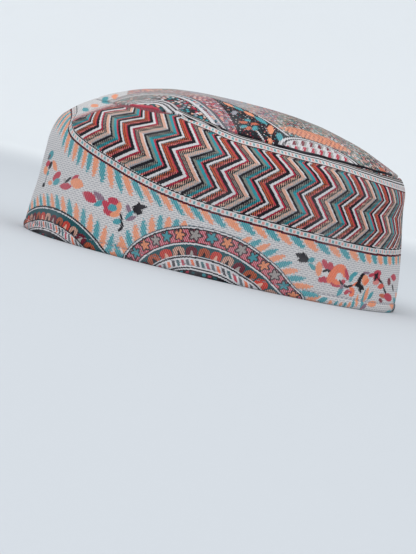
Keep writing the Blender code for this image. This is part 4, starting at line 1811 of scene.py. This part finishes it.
def band_cloth(context):
    """Cloth of the side band, pattern by pattern from the ground up."""
    ink = palette(context)
    material, board, shader = new_material("band cloth")
    at = board.place()
    cloth_map = board.cloth_map()
    place = board.use(tree_of("Band Place", band_place), Map=cloth_map)
    cloth = board.use(tree_of("Threads", threads), **place)
    line = {"Ground Line": cloth.pop("Ground Line")}
    colour = board.use(tree_of("Light Ground", light_ground, ink), **line)["Colour"]
    rise_tree = ribbon_rise()
    ribbon_tree = tree_of("Dotted Ribbon", dotted_ribbon, ink)
    front_tree = front_paisley(ink)
    steps = (
        (hanging_leaves(ink, rise_tree), cloth),
        (motifs("Front Spray", FRONT_SPRAY, ink), cloth),
        (motifs("Side Spray", SIDE_SPRAY, ink), cloth),
        (front_tree, cloth),
        (front_tree, shifted(cloth, BACK_PAISLEY, 1.0)),
        (side_paisley(ink), cloth),
        (striped_field(ink, rise_tree, ribbon_tree, zigzag(ink)), cloth),
        (motifs("Brow Spray", BROW_SPRAY, ink), cloth),
    )
    for tree, threads_here in steps:
        colour = board.use(tree, Colour=colour, **threads_here)["Colour"]
    colour = seam_and_wear(board, ink, colour, at, cloth, cloth)
    height = board.use(tree_of("Thread Height", thread_height), Map=cloth_map)["Height"]
    cloth_surface(board, shader, colour, height)
    return material


def crown_cloth(context):
    """Cloth of the crown, pattern by pattern from the ground up."""
    ink = palette(context)
    material, board, shader = new_material("crown cloth")
    at = board.place()
    place = board.use(crown_place(), Object=at)
    cells = {"Near": place.pop("Near"), "Pick": place.pop("Pick")}
    cloth = board.use(tree_of("Threads", threads), **place)
    line = {"Ground Line": cloth.pop("Ground Line")}
    colour = board.use(flowered_ground(ink), Hatch=cloth["Hatch"], **place, **cells)["Colour"]
    pale = board.use(tree_of("Light Ground", light_ground, ink), **line)["Colour"]
    brow = (cloth["V"] + cloth["U"] * 0.1).below(BROW_SIDE)
    brow = brow * (cloth["U"] + cloth["V"] * 0.5).below(BROW_FRONT)
    colour = board.mix(brow, colour, pale)
    side_tree = tree_of("Side Paisley", side_paisley, ink)
    middle = shifted(cloth, MEDALLION, MEDALLION_SCALE)
    for key in ("V", "Toothed V"):
        middle[key] = abs(middle[key] - SIDE_MIDDLE[1]) + SIDE_MIDDLE[1]
    colour = board.use(side_tree, Colour=colour, **middle)["Colour"]
    colour = board.use(crown_head(ink), Colour=colour, **cloth, **cells)["Colour"]
    colour = board.use(crown_side(ink), Colour=colour, **cloth)["Colour"]
    colour = board.use(motifs("Crown Leaves", CROWN_LEAVES, ink), Colour=colour, **cloth)["Colour"]
    cloth_map = board.cloth_map()
    band_at = board.use(tree_of("Band Place", band_place), Map=cloth_map)
    band = board.use(tree_of("Threads", threads), **band_at)
    band.pop("Ground Line")
    colour = seam_and_wear(board, ink, colour, at, band, cloth)
    height = board.use(tree_of("Thread Height", thread_height), Map=at)["Height"]
    cloth_surface(board, shader, colour, height)
    return material


def stitch_thread(context):
    """Twisted sewing thread."""
    material, board, shader = new_material("stitch thread")
    at = board.place()
    x, y = board.split(at)
    twist = board.math("SINE", (x + y) * (2 * math.pi / SEWING_TWIST))
    tint = tuple(context.scene.woven_cap_colours.thread)
    colour = board.mix(twist * 0.2 + 0.2, tint, tuple(c * 0.6 for c in tint))
    cloth_surface(board, shader, colour, twist * 0.5)
    return material


def cloth_length(name, description, default, low, high):
    """Property for a length in metres."""
    return bpy.props.FloatProperty(
        name=name, description=description, default=default, min=low, max=high, unit="LENGTH"
    )


def colour_of(name, description, default):
    """Property for a scene-linear colour."""
    return bpy.props.FloatVectorProperty(
        name=name, description=description, subtype="COLOR", default=default, min=0.0, max=1.0
    )


def thread_colour(name, red, green, blue):
    """Property for the colour of one thread, from display values."""
    return colour_of(name, f"{name} thread of the cloth", linear(red, green, blue))


def strength(name, description, default):
    """Property for the power of a light."""
    return bpy.props.FloatProperty(name=name, description=description, default=default)


class WovenCapSizes(bpy.types.PropertyGroup):
    wall: cloth_length("Wall", "Thickness of the cloth with its backing", 0.002, 0.001, 0.003)
    hem_wall: cloth_length("Hem thickness", "Thickness of the folded hem", 0.0026, 0.002, 0.004)
    hem_depth: cloth_length(
        "Hem depth", "Height of the hem's stitch line above the rim", 0.0045, 0.003, 0.01
    )
    stitch_length: cloth_length(
        "Stitch length", "Length of each stitch of the hem", 0.0021, 0.001, 0.004
    )
    stitch_pitch: cloth_length(
        "Stitch spacing", "Distance from one stitch of the hem to the next", 0.003, 0.0015, 0.006
    )
    stitch_thread: cloth_length(
        "Sewing thread", "Thickness of the sewing thread", 0.00034, 0.0002, 0.0008
    )


class WovenCapColours(bpy.types.PropertyGroup):
    ground: thread_colour("Ground", 211, 208, 207)
    white: thread_colour("White", 211, 208, 210)
    black: thread_colour("Black", 32, 29, 35)
    coal: thread_colour("Coal", 52, 46, 52)
    teal: thread_colour("Teal", 56, 148, 158)
    pine: thread_colour("Dark teal", 24, 92, 98)
    peach: thread_colour("Peach", 232, 146, 106)
    apricot: thread_colour("Pale peach", 218, 168, 148)
    coral: thread_colour("Coral", 234, 112, 66)
    salmon: thread_colour("Pink", 212, 128, 120)
    crimson: thread_colour("Crimson", 184, 54, 74)
    maroon: thread_colour("Maroon", 120, 32, 48)
    red: thread_colour("Orange-red", 214, 76, 58)
    orange: thread_colour("Burnt orange", 190, 92, 58)
    olive: thread_colour("Olive", 104, 96, 80)
    sage: thread_colour("Grey-green", 128, 132, 124)
    slate: thread_colour("Slate", 90, 96, 102)
    tan: thread_colour("Tan-grey", 162, 156, 152)
    mauve: thread_colour("Mauve", 132, 102, 120)
    grey: thread_colour("Grey", 148, 148, 158)
    backing: thread_colour("Backing", 186, 180, 172)
    thread: thread_colour("Sewing", 150, 148, 158)


class WovenCapStage(bpy.types.PropertyGroup):
    paper: colour_of("Paper", "Colour of the floor and wall", linear(232, 235, 238))
    # Painted shade: the floor round the cap is darker than the far paper.
    paper_shade_near_cap: colour_of(
        "Paper near the cap", "Colour of the floor round the cap", linear(196, 200, 205)
    )
    sky: colour_of("Room light", "Colour of the light from all round", (0.95, 0.98, 1.0))
    sky_strength: strength("Room light strength", "Strength of the light from all round", 1.0)
    key_power: strength("Key", "Power of the main light", 9.0)
    fill_power: strength("Fill", "Power of the fill light", 4.0)
    top_power: strength("Top", "Power of the top light", 3.0)


class VIEW3D_PT_woven_cap(bpy.types.Panel):
    bl_label = "Woven Cap"
    bl_space_type = "VIEW_3D"
    bl_region_type = "UI"
    bl_category = "Woven Cap"

    def draw(self, context):
        layout = self.layout
        for operator in OPERATORS:
            layout.operator(operator.bl_idname)


OPERATORS = (
    WOVENCAP_OT_side_band,
    WOVENCAP_OT_crown,
    WOVENCAP_OT_hem_stitches,
    WOVENCAP_OT_stage,
)
CLASSES = (WovenCapSizes, WovenCapColours, WovenCapStage, *OPERATORS, VIEW3D_PT_woven_cap)


def register():
    for cls in CLASSES:
        bpy.utils.register_class(cls)
    bpy.types.Scene.woven_cap_sizes = bpy.props.PointerProperty(type=WovenCapSizes)
    bpy.types.Scene.woven_cap_colours = bpy.props.PointerProperty(type=WovenCapColours)
    bpy.types.Scene.woven_cap_stage = bpy.props.PointerProperty(type=WovenCapStage)


def unregister():
    del bpy.types.Scene.woven_cap_stage
    del bpy.types.Scene.woven_cap_colours
    del bpy.types.Scene.woven_cap_sizes
    for cls in reversed(CLASSES):
        bpy.utils.unregister_class(cls)


def main():
    register()
    bpy.ops.woven_cap.side_band()
    bpy.ops.woven_cap.crown()
    bpy.ops.woven_cap.hem_stitches()
    bpy.ops.woven_cap.stage()


if __name__ == "__main__":
    main()
